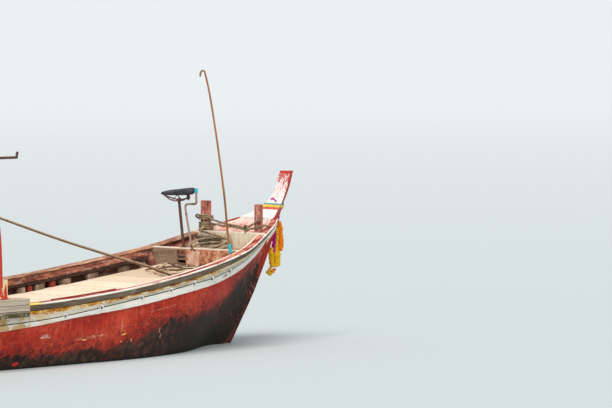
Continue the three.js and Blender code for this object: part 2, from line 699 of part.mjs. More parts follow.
function hull() {
  const [postRooms, rooms] = [
    Object.values(MOORING_POSTS).map(postRoom),
    [FORE_BULKHEAD_X, WELL_BULKHEAD_X].map(bulkheadRoom),
  ];
  const sides = [["port", (g) => g], ["starboard", mirrored]];
  for (const [side, turn] of sides) {
    node(`${side}_planking`, turn(planking()), "redPaint");
    const [strakeTop, strakeLow] = [RAIL_HEIGHT + STRIP_JOINT, RAIL_HEIGHT + STRAKE_HEIGHT];
    const strake = topsideStrip(STRAKE_BOW_X, strakeTop, strakeLow, STRAKE_THICK);
    node(`${side}_sheer_strake`, turn(strake), "whitePaint");
    node(`${side}_rub_rail`, turn(topsideStrip(RAIL_BOW_X, 1, RAIL_HEIGHT - 1, RAIL_THICK)), "greyWood");
    node(`${side}_cap_rail`, cut(turn(capRail()), ...postRooms, ...rooms), "whitePaint");
    node(`${side}_inwale`, turn(inwale()), "darkWood");
    node(`${side}_riser`, turn(riser()), "rawWood");
    node(`${side}_side_guard`, turn(sideGuard()), "greyWood");
    node(`${side}_mooring_post`, mooringPost(MOORING_POSTS[side]), "darkWood");
  }
  node("keel", keel(), "darkWood");
  node("stem_post", stemPost(), "redPaint");
  node("prow_head", prowHead(), "whitePaint");
  node("transom", transom(), "redPaint");
  node("rib_frames", ribFrames(), "darkWood");
}

function decks() {
  node("fore_bulkhead", foreBulkhead(), "greyWood");
  node("well_bulkhead", wellBulkhead(), "rawWood");
  node("well_floor", wellFloor(), "rawWood");
  node("bow_platform", cut(bowPlatform(), ...Object.values(MOORING_POSTS).map(postRoom)), "pinkPaint");
  DECK_PANELS.forEach((_, i) => node(`deck_panel_${i + 1}`, deckPanel(i), "creamWood"));
  node("bottom_boards", bottomBoards(), "rawWood");
  node("front_thwart", thwart(-1180), "creamWood");
  node("rear_thwart", thwart(-2050), "creamWood");
  node("helm_bulkhead", bulkhead(HELM_BULKHEAD_X, -240, HELM_DECK_Z - DECK_THICK - GAP), "creamWood");
  node("helm_deck", helmDeck(), "creamWood");
}

// Bow fittings
const SADDLE_AT = V3(2868, 227, 1337);
const SADDLE_LENGTH = 300;
const SADDLE_HEADING = THREE.MathUtils.degToRad(133);
const RAIL_R = 5;
const PIPE_R = 11;
const POLE_R = 11;
const CANE_R = 12;
const COIL_OUTER = 172;
const COIL_INNER = 92;
const COIL_HEIGHT = 64;
const COIL_TILT = THREE.MathUtils.degToRad(22);
const COIL_Y = 67;
const saddleAlong = V3(Math.cos(SADDLE_HEADING), Math.sin(SADDLE_HEADING), 0);

// Bicycle saddle: sections from the nose to the broad rear
function saddle() {
  const across = V3(-saddleAlong.y, saddleAlong.x, 0);
  const columns = ["share", "half", "top", "depth"];
  const sections = [
    [0.5, 10, 2, 16], [0.46, 17, 5, 26], [0.3, 21, 6, 34], [0.1, 27, 7, 38], [-0.1, 42, 9, 42],
    [-0.26, 66, 15, 48], [-0.4, 74, 20, 52], [-0.48, 68, 19, 46], [-0.5, 52, 15, 34],
  ].map((row) => Object.fromEntries(row.map((v, i) => [columns[i], v])));
  const rings = sections.map(({ share, half, top, depth }) =>
    steps(0, 2 * Math.PI, 10).slice(0, 10).map((angle) => {
      const rise = Math.sin(angle) > 0 ? top : top - depth * 0.5;
      const centre = SADDLE_AT.clone().addScaledVector(saddleAlong, share * SADDLE_LENGTH);
      const z = Math.sin(angle) * (depth * 0.5) + rise - depth * 0.25;
      return centre.addScaledVector(across, Math.cos(angle) * half).add(V3(0, 0, z));
    }));
  return loft(rings, (p) => [p.dot(across), p.z]);
}

// Seat pipe on the fore bulkhead with its flange, clamp and the two saddle rails
function saddlePost() {
  const top = capZ(FORE_BULKHEAD_X) + 2 + GAP;
  const foot = V3(FORE_BULKHEAD_X + 16, 160, top + 3);
  const head = V3(SADDLE_AT.x, 214, 1254);
  const rail = (side) => {
    const across = V3(-saddleAlong.y, saddleAlong.x, 0).multiplyScalar(side);
    const places = [[0.36, 9, -36], [0.2, 12, -51], [0.05, 20, -66], [-0.12, 20, -66], [-0.3, 34, -55]];
    const points = places.map(([share, out, rise]) =>
      SADDLE_AT.clone()
        .addScaledVector(saddleAlong, share * SADDLE_LENGTH)
        .addScaledVector(across, out)
        .add(V3(0, 0, rise)));
    return pipe(points, RAIL_R, 6, 8);
  };
  const clamp = bar(V3(2844, 198, 1268), V3(2892, 242, 1268), 15, 10);
  const flange = box(foot.x - 15, foot.x + 15, foot.y - 34, foot.y + 34, top, top + 5);
  return join(bar(foot, head, 13), flange, clamp, rail(1), rail(-1));
}

// Bent pipe held to the bulkhead's aft face by the plate at its foot
function bentPipe() {
  const x = FORE_BULKHEAD_X - PIPE_R - 3;
  const points = [
    [21, 808], [30, 860], [74, 1040], [108, 1200], [100, 1231], [36, 1236], [-12, 1237], [-25, 1250],
    [-25, 1300], [-25, 1372],
  ];
  const plate = box(x - 2, FORE_BULKHEAD_X - GAP, -4, 48, 800, 836);
  return join(pipe(points.map(([y, z]) => V3(x, y, z)), PIPE_R, 6, 28), plate);
}

// Long pole that stands on its step at the bulkhead and ends in a hook
function hookPole() {
  const { x, y, z } = POLE_STEP;
  const shaft = [
    [y, z + 4], [-476, 840], [-443, 1000], [-400, 1330], [-318, 1780], [-230, 2184], [-172, 2378],
  ];
  const hook = [[-173, 2376], [-145, 2404], [-118, 2388], [-112, 2352]];
  const part = (points, count) => pipe(points.map(([a, b]) => V3(x, a, b)), POLE_R, 8, count);
  return join(part(shaft, 10), part(hook, 6));
}

// Pole from the fore deck up to the canopy's front leg
function bambooPole() {
  const points = [
    V3(2235, -567, deckZ(2235) + CANE_R + 2), V3(2002, -594, 666), V3(1558, -645, 781), V3(1145, -692, 875),
    V3(492, -766, 1034), V3(-194, -845, 1219), V3(-720, -905, 1365),
  ];
  return pipe(points, CANE_R, 8, 10);
}

// Outline of the prow head at height z, pushed out by `out`
function headRing(z, out) {
  const rows = HEAD_SECTIONS;
  const i = Math.min(Math.max(rows.findIndex((row) => row.z > z) - 1, 0), rows.length - 2);
  const u = (z - rows[i].z) / (rows[i + 1].z - rows[i].z);
  const at = (key) => THREE.MathUtils.lerp(rows[i][key], rows[i + 1][key], u);
  const [aft, fore] = [at("aftX") - out, at("foreX") + out];
  const [wide, thin] = [at("aftHalf") + out * 1.4, at("foreHalf") + out * 1.4];
  return [V3(aft, wide, z), V3(aft, -wide, z), V3(fore, -thin, z), V3(fore, thin, z)];
}

// Cloth tied round the prow head
function prowCloth() {
  const band = (heights, out) => loft(heights.map((z) => headRing(z, out)), (p) => [p.x, p.y]);
  return cut(band([1158, 1165, 1210, 1214], 9), band([1152, 1165, 1210, 1220], 1.5));
}

// Flower strands that hang in front of the stem
function garland() {
  return slab(
    [
      [3896, 1066], [3879, 1063], [3888, 1000], [3868, 964], [3838, 915], [3832, 850], [3816, 798],
      [3805, 745], [3805, 692], [3836, 663], [3868, 650], [3916, 676], [3924, 720], [3928, 792],
      [3936, 881], [3932, 952], [3912, 1030],
    ],
    -24, 24,
  );
}

// Rope coil that stands on the well floor and leans on the well bulkhead
function ropeCoil() {
  const half = COIL_HEIGHT / 2;
  const [inner, outer, soft] = [COIL_INNER, COIL_OUTER, 16];
  const profile = [
    [inner, -half + soft], [inner + soft, -half], [outer - soft, -half], [outer, -half + soft],
    [outer, half - soft], [outer - soft, half], [inner + soft, half], [inner, half - soft],
    [inner, -half + soft],
  ];
  const ring = new THREE.LatheGeometry(profile.map(([r, z]) => new THREE.Vector2(r, z)), 18);
  ring.rotateX(Math.PI / 2).rotateY(-COIL_TILT).computeBoundingBox();
  const { min, max } = ring.boundingBox;
  return ring.translate(WELL_BULKHEAD_X - GAP - max.x, COIL_Y, WELL_FLOOR_Z + GAP - min.z);
}

function fittings() {
  node("saddle", saddle(), "blackVinyl");
  node("saddle_post", saddlePost(), "rustySteel");
  node("bent_pipe", bentPipe(), "rustySteel");
  node("hook_pole", hookPole(), "bamboo");
  node("bamboo_pole", bambooPole(), "bamboo");
  node("prow_cloth", prowCloth(), "cloth");
  node("garland", garland(), "flowers");
  node("rope_coil", ropeCoil(), "rope");
}

// Canopy on three bent frames
const archZ = (y) => CANOPY_EAVE_Z + (CANOPY_CROWN_Z - CANOPY_EAVE_Z) * (1 - (y / CANOPY_HALF) ** 2);
const CANOPY_FRAMES = [
  { name: "front", x: -383, lean: -190, rise: GUARD_ABOVE },
  { name: "middle", x: -1560, lean: 0, rise: 0 },
  { name: "rear", x: -2700, lean: 0, rise: 0 },
];

function canopyFrame({ x, lean, rise }) {
  const base = Math.max(capZ(x - 60), capZ(x + 60)) + rise + 4;
  const footY = capY(x) - 55;
  const leg = [
    V3(x, footY, base), V3(x + lean * 0.17, footY, 1180), V3(x + lean * 0.72, footY - 20, 1560),
    V3(x + lean, CANOPY_HALF, CANOPY_EAVE_Z - 30),
  ];
  const arch = [0.93, 0.7, 0.35, 0].map((k) => V3(x + lean, k * CANOPY_HALF, archZ(k * CANOPY_HALF)));
  const port = [...leg, ...arch];
  const starboard = [...port].reverse().slice(1).map((p) => V3(p.x, -p.y, p.z));
  const foot = (y) => box(x - 60, x + 60, y - 45, y + 45, base, base + 8);
  const feet = [foot(footY), foot(-footY)];
  return join(pipe([...port, ...starboard], CANOPY_POST_R, 8, 32), ...feet);
}

// Round rail along the eaves, with a short upturned end
function roofRail() {
  const y = CANOPY_HALF + CANOPY_POST_R + ROOF_RAIL_R + 2;
  const rail = bar(V3(-2790, y, 1738), V3(-176, y, 1738), ROOF_RAIL_R, 8);
  return join(rail, bar(V3(-185, y, 1732), V3(-172, y, 1784), ROOF_RAIL_R, 8));
}

// Canvas over the frames, with a short skirt outside the rails
function canopySheet() {
  const xs = [-2780, -2700, -2130, -1560, -1058, -557, -450];
  const clear = CANOPY_POST_R + 5;
  const thick = 12;
  const rings = xs.map((x) => {
    const over = (lift) => [1, 0.8, 0.55, 0.28, 0, -0.28, -0.55, -0.8, -1].map((k) => {
      const fold = Math.abs(k) === 1 ? 16 : 0;
      return V3(x, k * (SKIRT_Y + lift), archZ(k * CANOPY_HALF) + clear + lift + fold);
    });
    const skirt = (side, out) => V3(x, side * (SKIRT_Y + out), SKIRT_LOW_Z);
    const outside = [skirt(1, thick), ...over(thick), skirt(-1, thick)];
    return [...outside, skirt(-1, 0), ...over(0).reverse(), skirt(1, 0)];
  });
  return loft(rings);
}

function canopy() {
  for (const frame of CANOPY_FRAMES) node(`canopy_${frame.name}_frame`, canopyFrame(frame), "redPaint");
  node("port_roof_rail", roofRail(), "rustySteel");
  node("starboard_roof_rail", mirrored(roofRail()), "rustySteel");
  node("canopy_sheet", canopySheet(), "canvas");
}

// Long-tail drive. Its pieces are placed about the cross pin; the tilting ones share a group
const BLOCK_TOP = -180;
const YOKE_Y = 40;
const PIN_R = 11;
const SHAFT_Z = 54;
const CASE_TOP = 159;
const FIN_HALF = 82;
const CRADLE_FORE_X = 490;

function pivotBlock() {
  return box(TRANSOM_X + 6, TRANSOM_X + 146, -85, 85, HELM_DECK_Z + GAP, PIVOT_Z + BLOCK_TOP);
}

function swivelYoke() {
  const disc = bar(V3(0, 0, BLOCK_TOP + 1), V3(0, 0, BLOCK_TOP + 16), 58, 16);
  const stem = bar(V3(0, 0, BLOCK_TOP + 10), V3(0, 0, -78), 26, 12);
  const saddlePlate = box(-36, 36, -YOKE_Y - 12, YOKE_Y + 12, -86, -70);
  const arms = [YOKE_Y, -YOKE_Y - 12].map((y) => box(-26, 26, y, y + 12, -74, 28));
  const pin = bar(V3(0, -YOKE_Y - 22, 0), V3(0, YOKE_Y + 22, 0), PIN_R, 12);
  return join(disc, stem, saddlePlate, ...arms, pin);
}

// Tail tube with the bearing on the cross pin, the cradle that carries the engine, and the skeg fin
function tailTube() {
  const [head, end] = [V3(ENGINE_AFT_X - 2, 0, SHAFT_Z), V3(-TAIL_LENGTH, 0, SHAFT_Z)];
  const tube = bar(head, end, TUBE_R, 12, TUBE_R * 0.86);
  const bearing = bar(V3(0, -YOKE_Y + 6, 0), V3(0, YOKE_Y - 6, 0), 24, 12);
  const web = box(-20, 20, -16, 16, 10, SHAFT_Z);
  const bore = bar(V3(0, -100, 0), V3(0, 100, 0), PIN_R + 0.6, 12);
  const beams = [70, -105].map((y) => box(40, CRADLE_FORE_X, y, y + 35, CRADLE_Z, CRADLE_Z + 12));
  const cross = [60, 240, 440].map((x) => box(x, x + 44, -105, 105, CRADLE_Z, CRADLE_Z + 10));
  const gusset = box(44, 100, -12, 12, CRADLE_Z + 2, SHAFT_Z);
  const finX = -TAIL_LENGTH + 210;
  const finCorners = [[-150, -18], [-170, -190], [-120, -205], [40, -18]];
  const fin = slab(finCorners.map(([a, b]) => [finX + a, SHAFT_Z + b]), -5, 5);
  return join(cut(join(tube, bearing, web, gusset), bore), ...beams, ...cross, fin);
}

// Blade sections: radius, half chord, pitch in degrees and thickness
const BLADE_SECTIONS = [
  [15, 26, 62, 7],
  [60, 44, 50, 6],
  [105, 46, 38, 5],
  [140, 30, 30, 4],
  [PROP_R, 10, 26, 3],
];

// Two twisted blades on a hub
function propeller() {
  const x = -TAIL_LENGTH - 6;
  const barrel = bar(V3(x, 0, SHAFT_Z), V3(x - 70, 0, SHAFT_Z), 26, 12);
  const hub = join(barrel, bar(V3(x - 69, 0, SHAFT_Z), V3(x - 100, 0, SHAFT_Z), 26, 12, 6));
  const blade = (turn) => {
    const rings = BLADE_SECTIONS.map(([r, half, pitch, thick]) => {
      const a = THREE.MathUtils.degToRad(pitch);
      return [[-half, -thick / 2], [half, -thick / 2], [half, thick / 2], [-half, thick / 2]].map(([u, v]) =>
        V3(x - 35 + u * Math.cos(a) - v * Math.sin(a), u * Math.sin(a) + v * Math.cos(a), r));
    });
    return loft(rings, (p) => [p.x, p.y]).rotateX(turn).translate(0, 0, SHAFT_Z);
  };
  return join(hub, blade(0), blade(Math.PI));
}

function engineBlock() {
  const x = ENGINE_AFT_X;
  const crankcase = box(x, x + 250, -105, 105, ENGINE_BASE_Z, CASE_TOP);
  const flange = bar(V3(x - 1, 0, SHAFT_Z), V3(x + 20, 0, SHAFT_Z), 62, 16);
  const barrel = box(x + 60, x + 190, -60, 60, SHAFT_Z + 100, SHAFT_Z + 250);
  const fin = (z) => box(x + 42, x + 208, -FIN_HALF, FIN_HALF, z, z + 8);
  const fins = steps(SHAFT_Z + 118, SHAFT_Z + 223, 5).map(fin);
  const head = box(x + 70, x + 180, -66, 66, SHAFT_Z + 248, SHAFT_Z + 276);
  return join(crankcase, flange, barrel, ...fins, head);
}

function fanCover() {
  const x = ENGINE_AFT_X + 250 + GAP;
  const drum = bar(V3(x, 0, SHAFT_Z + 10), V3(x + 70, 0, SHAFT_Z + 10), 112, 20);
  const cup = bar(V3(x + 69, 0, SHAFT_Z + 10), V3(x + 92, 0, SHAFT_Z + 10), 70, 16, 56);
  return join(drum, cup);
}

function fuelTank() {
  const [x, z] = [ENGINE_AFT_X + 30, SHAFT_Z + 300];
  const corners = [[0, 0], [230, 0], [255, 22], [255, 88], [228, 112], [24, 112], [0, 90]];
  const brackets = [84, -105].map((y) => box(x + 40, x + 66, y, y + 21, CASE_TOP + GAP, z + 4));
  return join(slab(corners.map(([a, b]) => [x + a, z + b]), -110, 110), ...brackets);
}

function muffler() {
  const [x, y, z] = [ENGINE_AFT_X + 120, -170, SHAFT_Z + 190];
  const body = bar(V3(x - 110, y, z), V3(x + 110, y, z), 52, 14);
  const stub = bar(V3(x, y + 30, z), V3(x, -FIN_HALF - GAP, z), 20, 10);
  const tail = bar(V3(x - 109, y, z), V3(x - 160, y, z + 24), 16, 10);
  return join(body, stub, tail);
}

function airFilter() {
  const [x, y, z] = [ENGINE_AFT_X + 125, 150, SHAFT_Z + 190];
  const can = bar(V3(x, y - 40, z), V3(x, y + 44, z), 62, 16);
  const neck = bar(V3(x, FIN_HALF + GAP, z), V3(x, y - 30, z), 24, 10);
  return join(can, neck);
}

// Steering bar from the cradle forward, bent up to the helm
function tillerBar() {
  const x = CRADLE_FORE_X + 3;
  const points = [
    [x, 87, CRADLE_Z + 6], [x + 90, 80, CRADLE_Z + 10], [x + 260, 55, 40], [x + 460, 40, 90],
    [TILLER_REACH, 40, 110],
  ];
  return pipe(points.map(([a, b, c]) => V3(a, b, c)), 15, 8, 12);
}

function drive() {
  const upright = new THREE.Group();
  upright.position.set(PIVOT_X, 0, PIVOT_Z);
  boat.add(upright);
  node("pivot_block", pivotBlock(), "rawWood");
  node("swivel_yoke", swivelYoke(), "rustySteel", upright);
  const tilting = new THREE.Group();
  tilting.rotation.y = -REST_ANGLE;
  upright.add(tilting);
  node("tail_tube", tailTube(), "galvanised", tilting);
  node("propeller", propeller(), "brass", tilting);
  node("engine_block", engineBlock(), "castMetal", tilting);
  node("fan_cover", fanCover(), "enginePaint", tilting);
  node("fuel_tank", fuelTank(), "enginePaint", tilting);
  node("muffler", muffler(), "rustySteel", tilting);
  node("air_filter", airFilter(), "blackVinyl", tilting);
  node("tiller_bar", tillerBar(), "rustySteel", tilting);
}

hull();
decks();
fittings();
canopy();
drive();

export default boat;
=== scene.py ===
import bisect
import math
import random

import bmesh
import bpy
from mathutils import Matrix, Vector, noise


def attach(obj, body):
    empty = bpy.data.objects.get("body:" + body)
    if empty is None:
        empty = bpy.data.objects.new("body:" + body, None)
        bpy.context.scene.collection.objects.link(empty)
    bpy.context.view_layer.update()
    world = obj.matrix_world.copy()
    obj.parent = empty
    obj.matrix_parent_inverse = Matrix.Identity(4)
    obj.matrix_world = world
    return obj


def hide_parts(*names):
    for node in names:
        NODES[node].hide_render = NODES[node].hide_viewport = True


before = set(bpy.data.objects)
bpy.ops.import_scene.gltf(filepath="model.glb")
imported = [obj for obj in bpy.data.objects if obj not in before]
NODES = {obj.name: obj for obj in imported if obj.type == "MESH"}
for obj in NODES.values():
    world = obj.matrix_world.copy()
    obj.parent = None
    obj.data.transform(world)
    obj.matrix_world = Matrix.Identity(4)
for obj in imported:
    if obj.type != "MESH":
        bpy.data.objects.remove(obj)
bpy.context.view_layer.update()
MM = 0.001
SIDES = (("port", 1), ("starboard", -1))

# Hull measurements in millimetres, as in the solids
PLANK = 25
KEEL_HALF = 36
CAP_THICK = 16
CAP_OVERHANG = 30
CAP_WIDTH = 108
RAIL_HEIGHT = 44
RAIL_THICK = 24
STRAKE_THICK = 16
TRANSOM_X = -4000
TRANSOM_THICK = 45
PLANK_BOW_X = 3780
STRAKE_BOW_X = 3778
CAP_BOW_X = 3650
HEAD_BASE_Z = 1096
DECK_DROP = 150
STATION_KEYS = ("x", "keel_y", "keel_z", "floor_y", "floor_z", "side_y", "side_z", "cap_y", "cap_z")
STATIONS = [
    dict(zip(STATION_KEYS, row))
    for row in (
        (-4050, 37, -40, 380, -70, 600, 60, 690, 700),
        (-3300, 37, -200, 430, -230, 700, -60, 840, 612),
        (-2300, 37, -285, 560, -310, 850, -150, 965, 562),
        (-1200, 37, -300, 610, -325, 900, -170, 1015, 542),
        (-100, 37, -300, 610, -325, 890, -165, 1002, 545),
        (600, 37, -298, 580, -320, 880, -160, 962, 574),
        (1400, 37, -290, 480, -305, 890, -165, 860, 632),
        (2200, 38, -255, 215, -255, 620, -170, 770, 735),
        (2870, 46, -178, 55, -112, 128, 96, 620, 853),
        (3270, 54, 121, 60, 300, 125, 530, 455, 970),
        (3540, 52, 536, 56, 670, 100, 830, 318, 1055),
        (3700, 50, 841, 53, 900, 66, 985, 195, 1104),
        (3820, 47, 1056, 47, 1066, 48, 1076, 82, 1108),
    )
]
HEAD_KEYS = ("z", "aft_x", "aft_half", "fore_x", "fore_half")
HEAD = [
    dict(zip(HEAD_KEYS, row))
    for row in (
        (1096, 3622, 203, 3890, 35),
        (1124, 3694, 162, 3903, 35),
        (1165, 3777, 114, 3922, 35),
        (1210, 3836, 94, 3942, 34),
        (1292, 3904, 75, 3991, 33),
        (1380, 3948, 71, 4034, 32),
        (1497, 4000, 69, 4075, 30),
    )
]


# Camera at the photograph's viewing angle: place in metres, focal length and frame width in pixels, angles
CAMERA_AT = (-26.4957, -28.6893, 3.0)
FOCAL_PIXELS, PHOTO_WIDTH, SENSOR = 4700, 612, 36
CAMERA_DOWN, CAMERA_TURN = 2.461, -47

# Distances in metres between deck joints, plank seams, bamboo joints and canvas seams
DECK_BOARD, PLANK_SEAM, CANE_JOINT, CANVAS_PANEL = 0.2317, 0.162, 0.285, 0.78


def make_camera():
    data = bpy.data.cameras.new("camera")
    data.sensor_width = SENSOR
    data.lens = FOCAL_PIXELS / PHOTO_WIDTH * SENSOR
    data.clip_start, data.clip_end = 0.5, 9000
    camera = bpy.data.objects.new("camera", data)
    camera.location = CAMERA_AT
    camera.rotation_euler = (math.radians(90 - CAMERA_DOWN), 0, math.radians(CAMERA_TURN))
    bpy.context.scene.collection.objects.link(camera)
    bpy.context.scene.camera = camera


def make_light():
    scene = bpy.context.scene
    scene.view_settings.view_transform = "Standard"
    world = bpy.data.worlds.new("studio")
    scene.world = world
    world.use_nodes = True
    backdrop = world.node_tree.nodes["Background"]
    backdrop.inputs["Strength"].default_value = 0.62
    # a narrow band at the horizon is as bright as the floor's far end
    tree = world.node_tree
    height = tree.nodes.new("ShaderNodeSeparateXYZ")
    fade = tree.nodes.new("ShaderNodeMapRange")
    fade.inputs["From Max"].default_value = 0.03
    blend = tree.nodes.new("ShaderNodeMix")
    blend.data_type = "RGBA"
    blend.inputs[6].default_value = (1.340, 1.405, 1.446, 1)
    blend.inputs[7].default_value = (0.86, 0.91, 0.97, 1)
    tree.links.new(tree.nodes.new("ShaderNodeTexCoord").outputs["Generated"], height.inputs[0])
    tree.links.new(height.outputs["Z"], fade.inputs["Value"])
    tree.links.new(fade.outputs["Result"], blend.inputs[0])
    tree.links.new(blend.outputs[2], backdrop.inputs["Color"])
    for name, energy, angle, turn in (
        ("key", 2.6, 40, (math.radians(36), 0, math.radians(-62))),
        ("fill", 0.75, 80, (math.radians(66), 0, math.radians(-8))),
    ):
        data = bpy.data.lights.new(name, "SUN")
        data.energy = energy
        data.angle = math.radians(angle)
        data.color = (1, 0.97, 0.93)
        lamp = bpy.data.objects.new(name, data)
        lamp.rotation_euler = turn
        scene.collection.objects.link(lamp)


# Section curves of the hull, in millimetres
def column(x, key):
    i = max(min(sum(1 for row in STATIONS if row["x"] <= x) - 1, len(STATIONS) - 2), 0)

    def slope(k):
        a, b = STATIONS[max(k - 1, 0)], STATIONS[min(k + 1, len(STATIONS) - 1)]
        return (b[key] - a[key]) / (b["x"] - a["x"])

    a, b = STATIONS[i], STATIONS[i + 1]
    span = b["x"] - a["x"]
    u = min(max((x - a["x"]) / span, 0), 1)
    return (
        a[key] * (2 * u**3 - 3 * u * u + 1)
        + slope(i) * span * (u**3 - 2 * u * u + u)
        + b[key] * (3 * u * u - 2 * u**3)
        + slope(i + 1) * span * (u**3 - u * u)
    )


def cap_y(x):
    return column(x, "cap_y")


def cap_z(x):
    return column(x, "cap_z")


def sheer_z(x):
    return cap_z(x) - CAP_THICK - 0.4


def deck_z(x):
    return cap_z(x) - DECK_DROP


def section(x):
    """The four control points of the planking's outer curve at x."""
    return [
        Vector((column(x, "keel_y"), column(x, "keel_z"))),
        Vector((column(x, "floor_y"), column(x, "floor_z"))),
        Vector((column(x, "side_y"), column(x, "side_z"))),
        Vector((cap_y(x) - CAP_OVERHANG, sheer_z(x))),
    ]


def skin(controls, t, out=0.0):
    """Point of the curve at t, pushed outwards by `out`."""
    a, b, c, d = controls
    m = 1 - t
    point = a * m**3 + b * 3 * m * m * t + c * 3 * m * t * t + d * t**3
    along = (b - a) * 3 * m * m + (c - b) * 6 * m * t + (d - c) * 3 * t * t
    along.normalize()
    moved = point + Vector((along.y, -along.x)) * out
    return Vector((max(moved.x, KEEL_HALF + 0.4), min(moved.y, d.y)))


def running(path):
    """Lengths from a path's start to each of its points."""
    lengths = [0.0]
    for a, b in zip(path, path[1:]):
        lengths.append(lengths[-1] + (b - a).length)
    return lengths


def arc(controls):
    """Lengths along the curve at 48 even steps of its parameter."""
    return running([skin(controls, i / 48) for i in range(49)])


def at_drop(lengths, drop):
    """Parameter of the point that lies `drop` below the sheer, along the curve."""
    goal = max(lengths[-1] - drop, 0.0)
    k = min(bisect.bisect_right(lengths, goal) - 1, 47)
    return (k + (goal - lengths[k]) / max(lengths[k + 1] - lengths[k], 1e-6)) / 48


def drop_at(lengths, t):
    k = min(int(t * 48), 47)
    return lengths[-1] - lengths[k] - (lengths[k + 1] - lengths[k]) * (t * 48 - k)


def spread(a, b, count):
    return [a + (b - a) * i / count for i in range(count + 1)]


def hull_places(x0, x1, count=70):
    """Places along the hull, closer together at the bow."""
    return [x0 + (x1 - x0) * (1 - (1 - i / count) ** 1.5) for i in range(count + 1)]


# Meshes
def add_object(name, mesh, look, replaces=(), body="hull"):
    """A piece from a mesh, or from a list of meshes that become one."""
    if isinstance(mesh, list):
        mesh = merged(mesh)
    mesh.name = name
    piece = bpy.data.objects.new(name, mesh)
    bpy.context.scene.collection.objects.link(piece)
    mesh.materials.append(LOOKS[look])
    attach(piece, body)
    if replaces:
        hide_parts(*replaces)
    return piece


def finish_mesh(vertices, faces, values=None, angle=35):
    mesh = bpy.data.meshes.new("mesh")
    mesh.from_pydata([tuple(v) for v in vertices], [], faces)
    for key, numbers in (values or {}).items():
        mesh.attributes.new(key, "FLOAT", "POINT").data.foreach_set("value", numbers)
    work = bmesh.new()
    work.from_mesh(mesh)
    bmesh.ops.recalc_face_normals(work, faces=work.faces)
    work.to_mesh(mesh)
    work.free()
    mesh.shade_smooth()
    mesh.set_sharp_from_angle(angle=math.radians(angle))
    return mesh


def loft(rings, values=None, angle=35):
    """A mesh through rings of equal count, the rings in millimetres."""
    count = len(rings[0])
    vertices = [Vector(p) * MM for ring in rings for p in ring]
    faces = []
    for r in range(len(rings) - 1):
        for i in range(count):
            j = (i + 1) % count
            faces.append((r * count + i, r * count + j, (r + 1) * count + j, (r + 1) * count + i))
    faces.append(tuple(range(count)))
    faces.append(tuple((len(rings) - 1) * count + i for i in range(count)))
    return finish_mesh(vertices, faces, values, angle)


def smooth_path(points, count):
    """Points spaced evenly along a smooth curve through `points`."""
    points = [Vector(p) for p in points]
    ends = [points[0] * 2 - points[1], *points, points[-1] * 2 - points[-2]]
    fine = []
    for a, b, c, d in zip(ends, ends[1:], ends[2:], ends[3:]):
        for i in range(16):
            t = i / 16
            fine.append(
                0.5 * (
                    (2 * b) + (c - a) * t + (2 * a - 5 * b + 4 * c - d) * t * t + (
                        3 * b - a - 3 * c + d
                    ) * t**3
                )
            )
    fine.append(points[-1])
    lengths = running(fine)
    made, k = [], 0
    for i in range(count + 1):
        goal = lengths[-1] * i / count
        while k < len(fine) - 2 and lengths[k + 1] < goal:
            k += 1
        share = (goal - lengths[k]) / max(lengths[k + 1] - lengths[k], 1e-9)
        made.append(fine[k].lerp(fine[k + 1], min(max(share, 0), 1)))
    return made


def route(points, count):
    """A smooth path in metres through points in millimetres."""
    return smooth_path([Vector(p) * MM for p in points], count)


def tube(path, radius, sides=12, closed=False):
    """A round tube along a path in metres; radius is a number or a function of the share of the length."""
    lengths = running(path)
    normal = None
    vertices, along, around = [], [], []
    for i, p in enumerate(path):
        ahead = path[(i + 1) % len(path)] if closed or i + 1 < len(path) else p
        behind = path[i - 1] if closed or i > 0 else p
        direction = (ahead - behind).normalized()
        if normal is None:
            normal = direction.orthogonal().normalized()
        normal = (normal - direction * normal.dot(direction)).normalized()
        side = direction.cross(normal)
        r = radius(lengths[i] / lengths[-1]) if callable(radius) else radius
        for k in range(sides):
            turn = 2 * math.pi * k / sides
            vertices.append(p + (normal * math.cos(turn) + side * math.sin(turn)) * r)
            along.append(lengths[i])
            around.append(k / sides)
    faces = []
    for i in range(len(path) - (0 if closed else 1)):
        for k in range(sides):
            j, n = (k + 1) % sides, (i + 1) % len(path)
            faces.append((i * sides + k, i * sides + j, n * sides + j, n * sides + k))
    if not closed:
        faces.append(tuple(range(sides)))
        faces.append(tuple((len(path) - 1) * sides + k for k in range(sides)))
    return finish_mesh(vertices, faces, {"along": along, "around": around}, 60)


def merged(meshes):
    """One mesh out of several; their attributes stay."""
    work = bmesh.new()
    for mesh in meshes:
        work.from_mesh(mesh)
    whole = bpy.data.meshes.new("mesh")
    work.to_mesh(whole)
    work.free()
    for mesh in meshes:
        bpy.data.meshes.remove(mesh)
    whole.shade_smooth()
    whole.set_sharp_from_angle(angle=math.radians(50))
    return whole


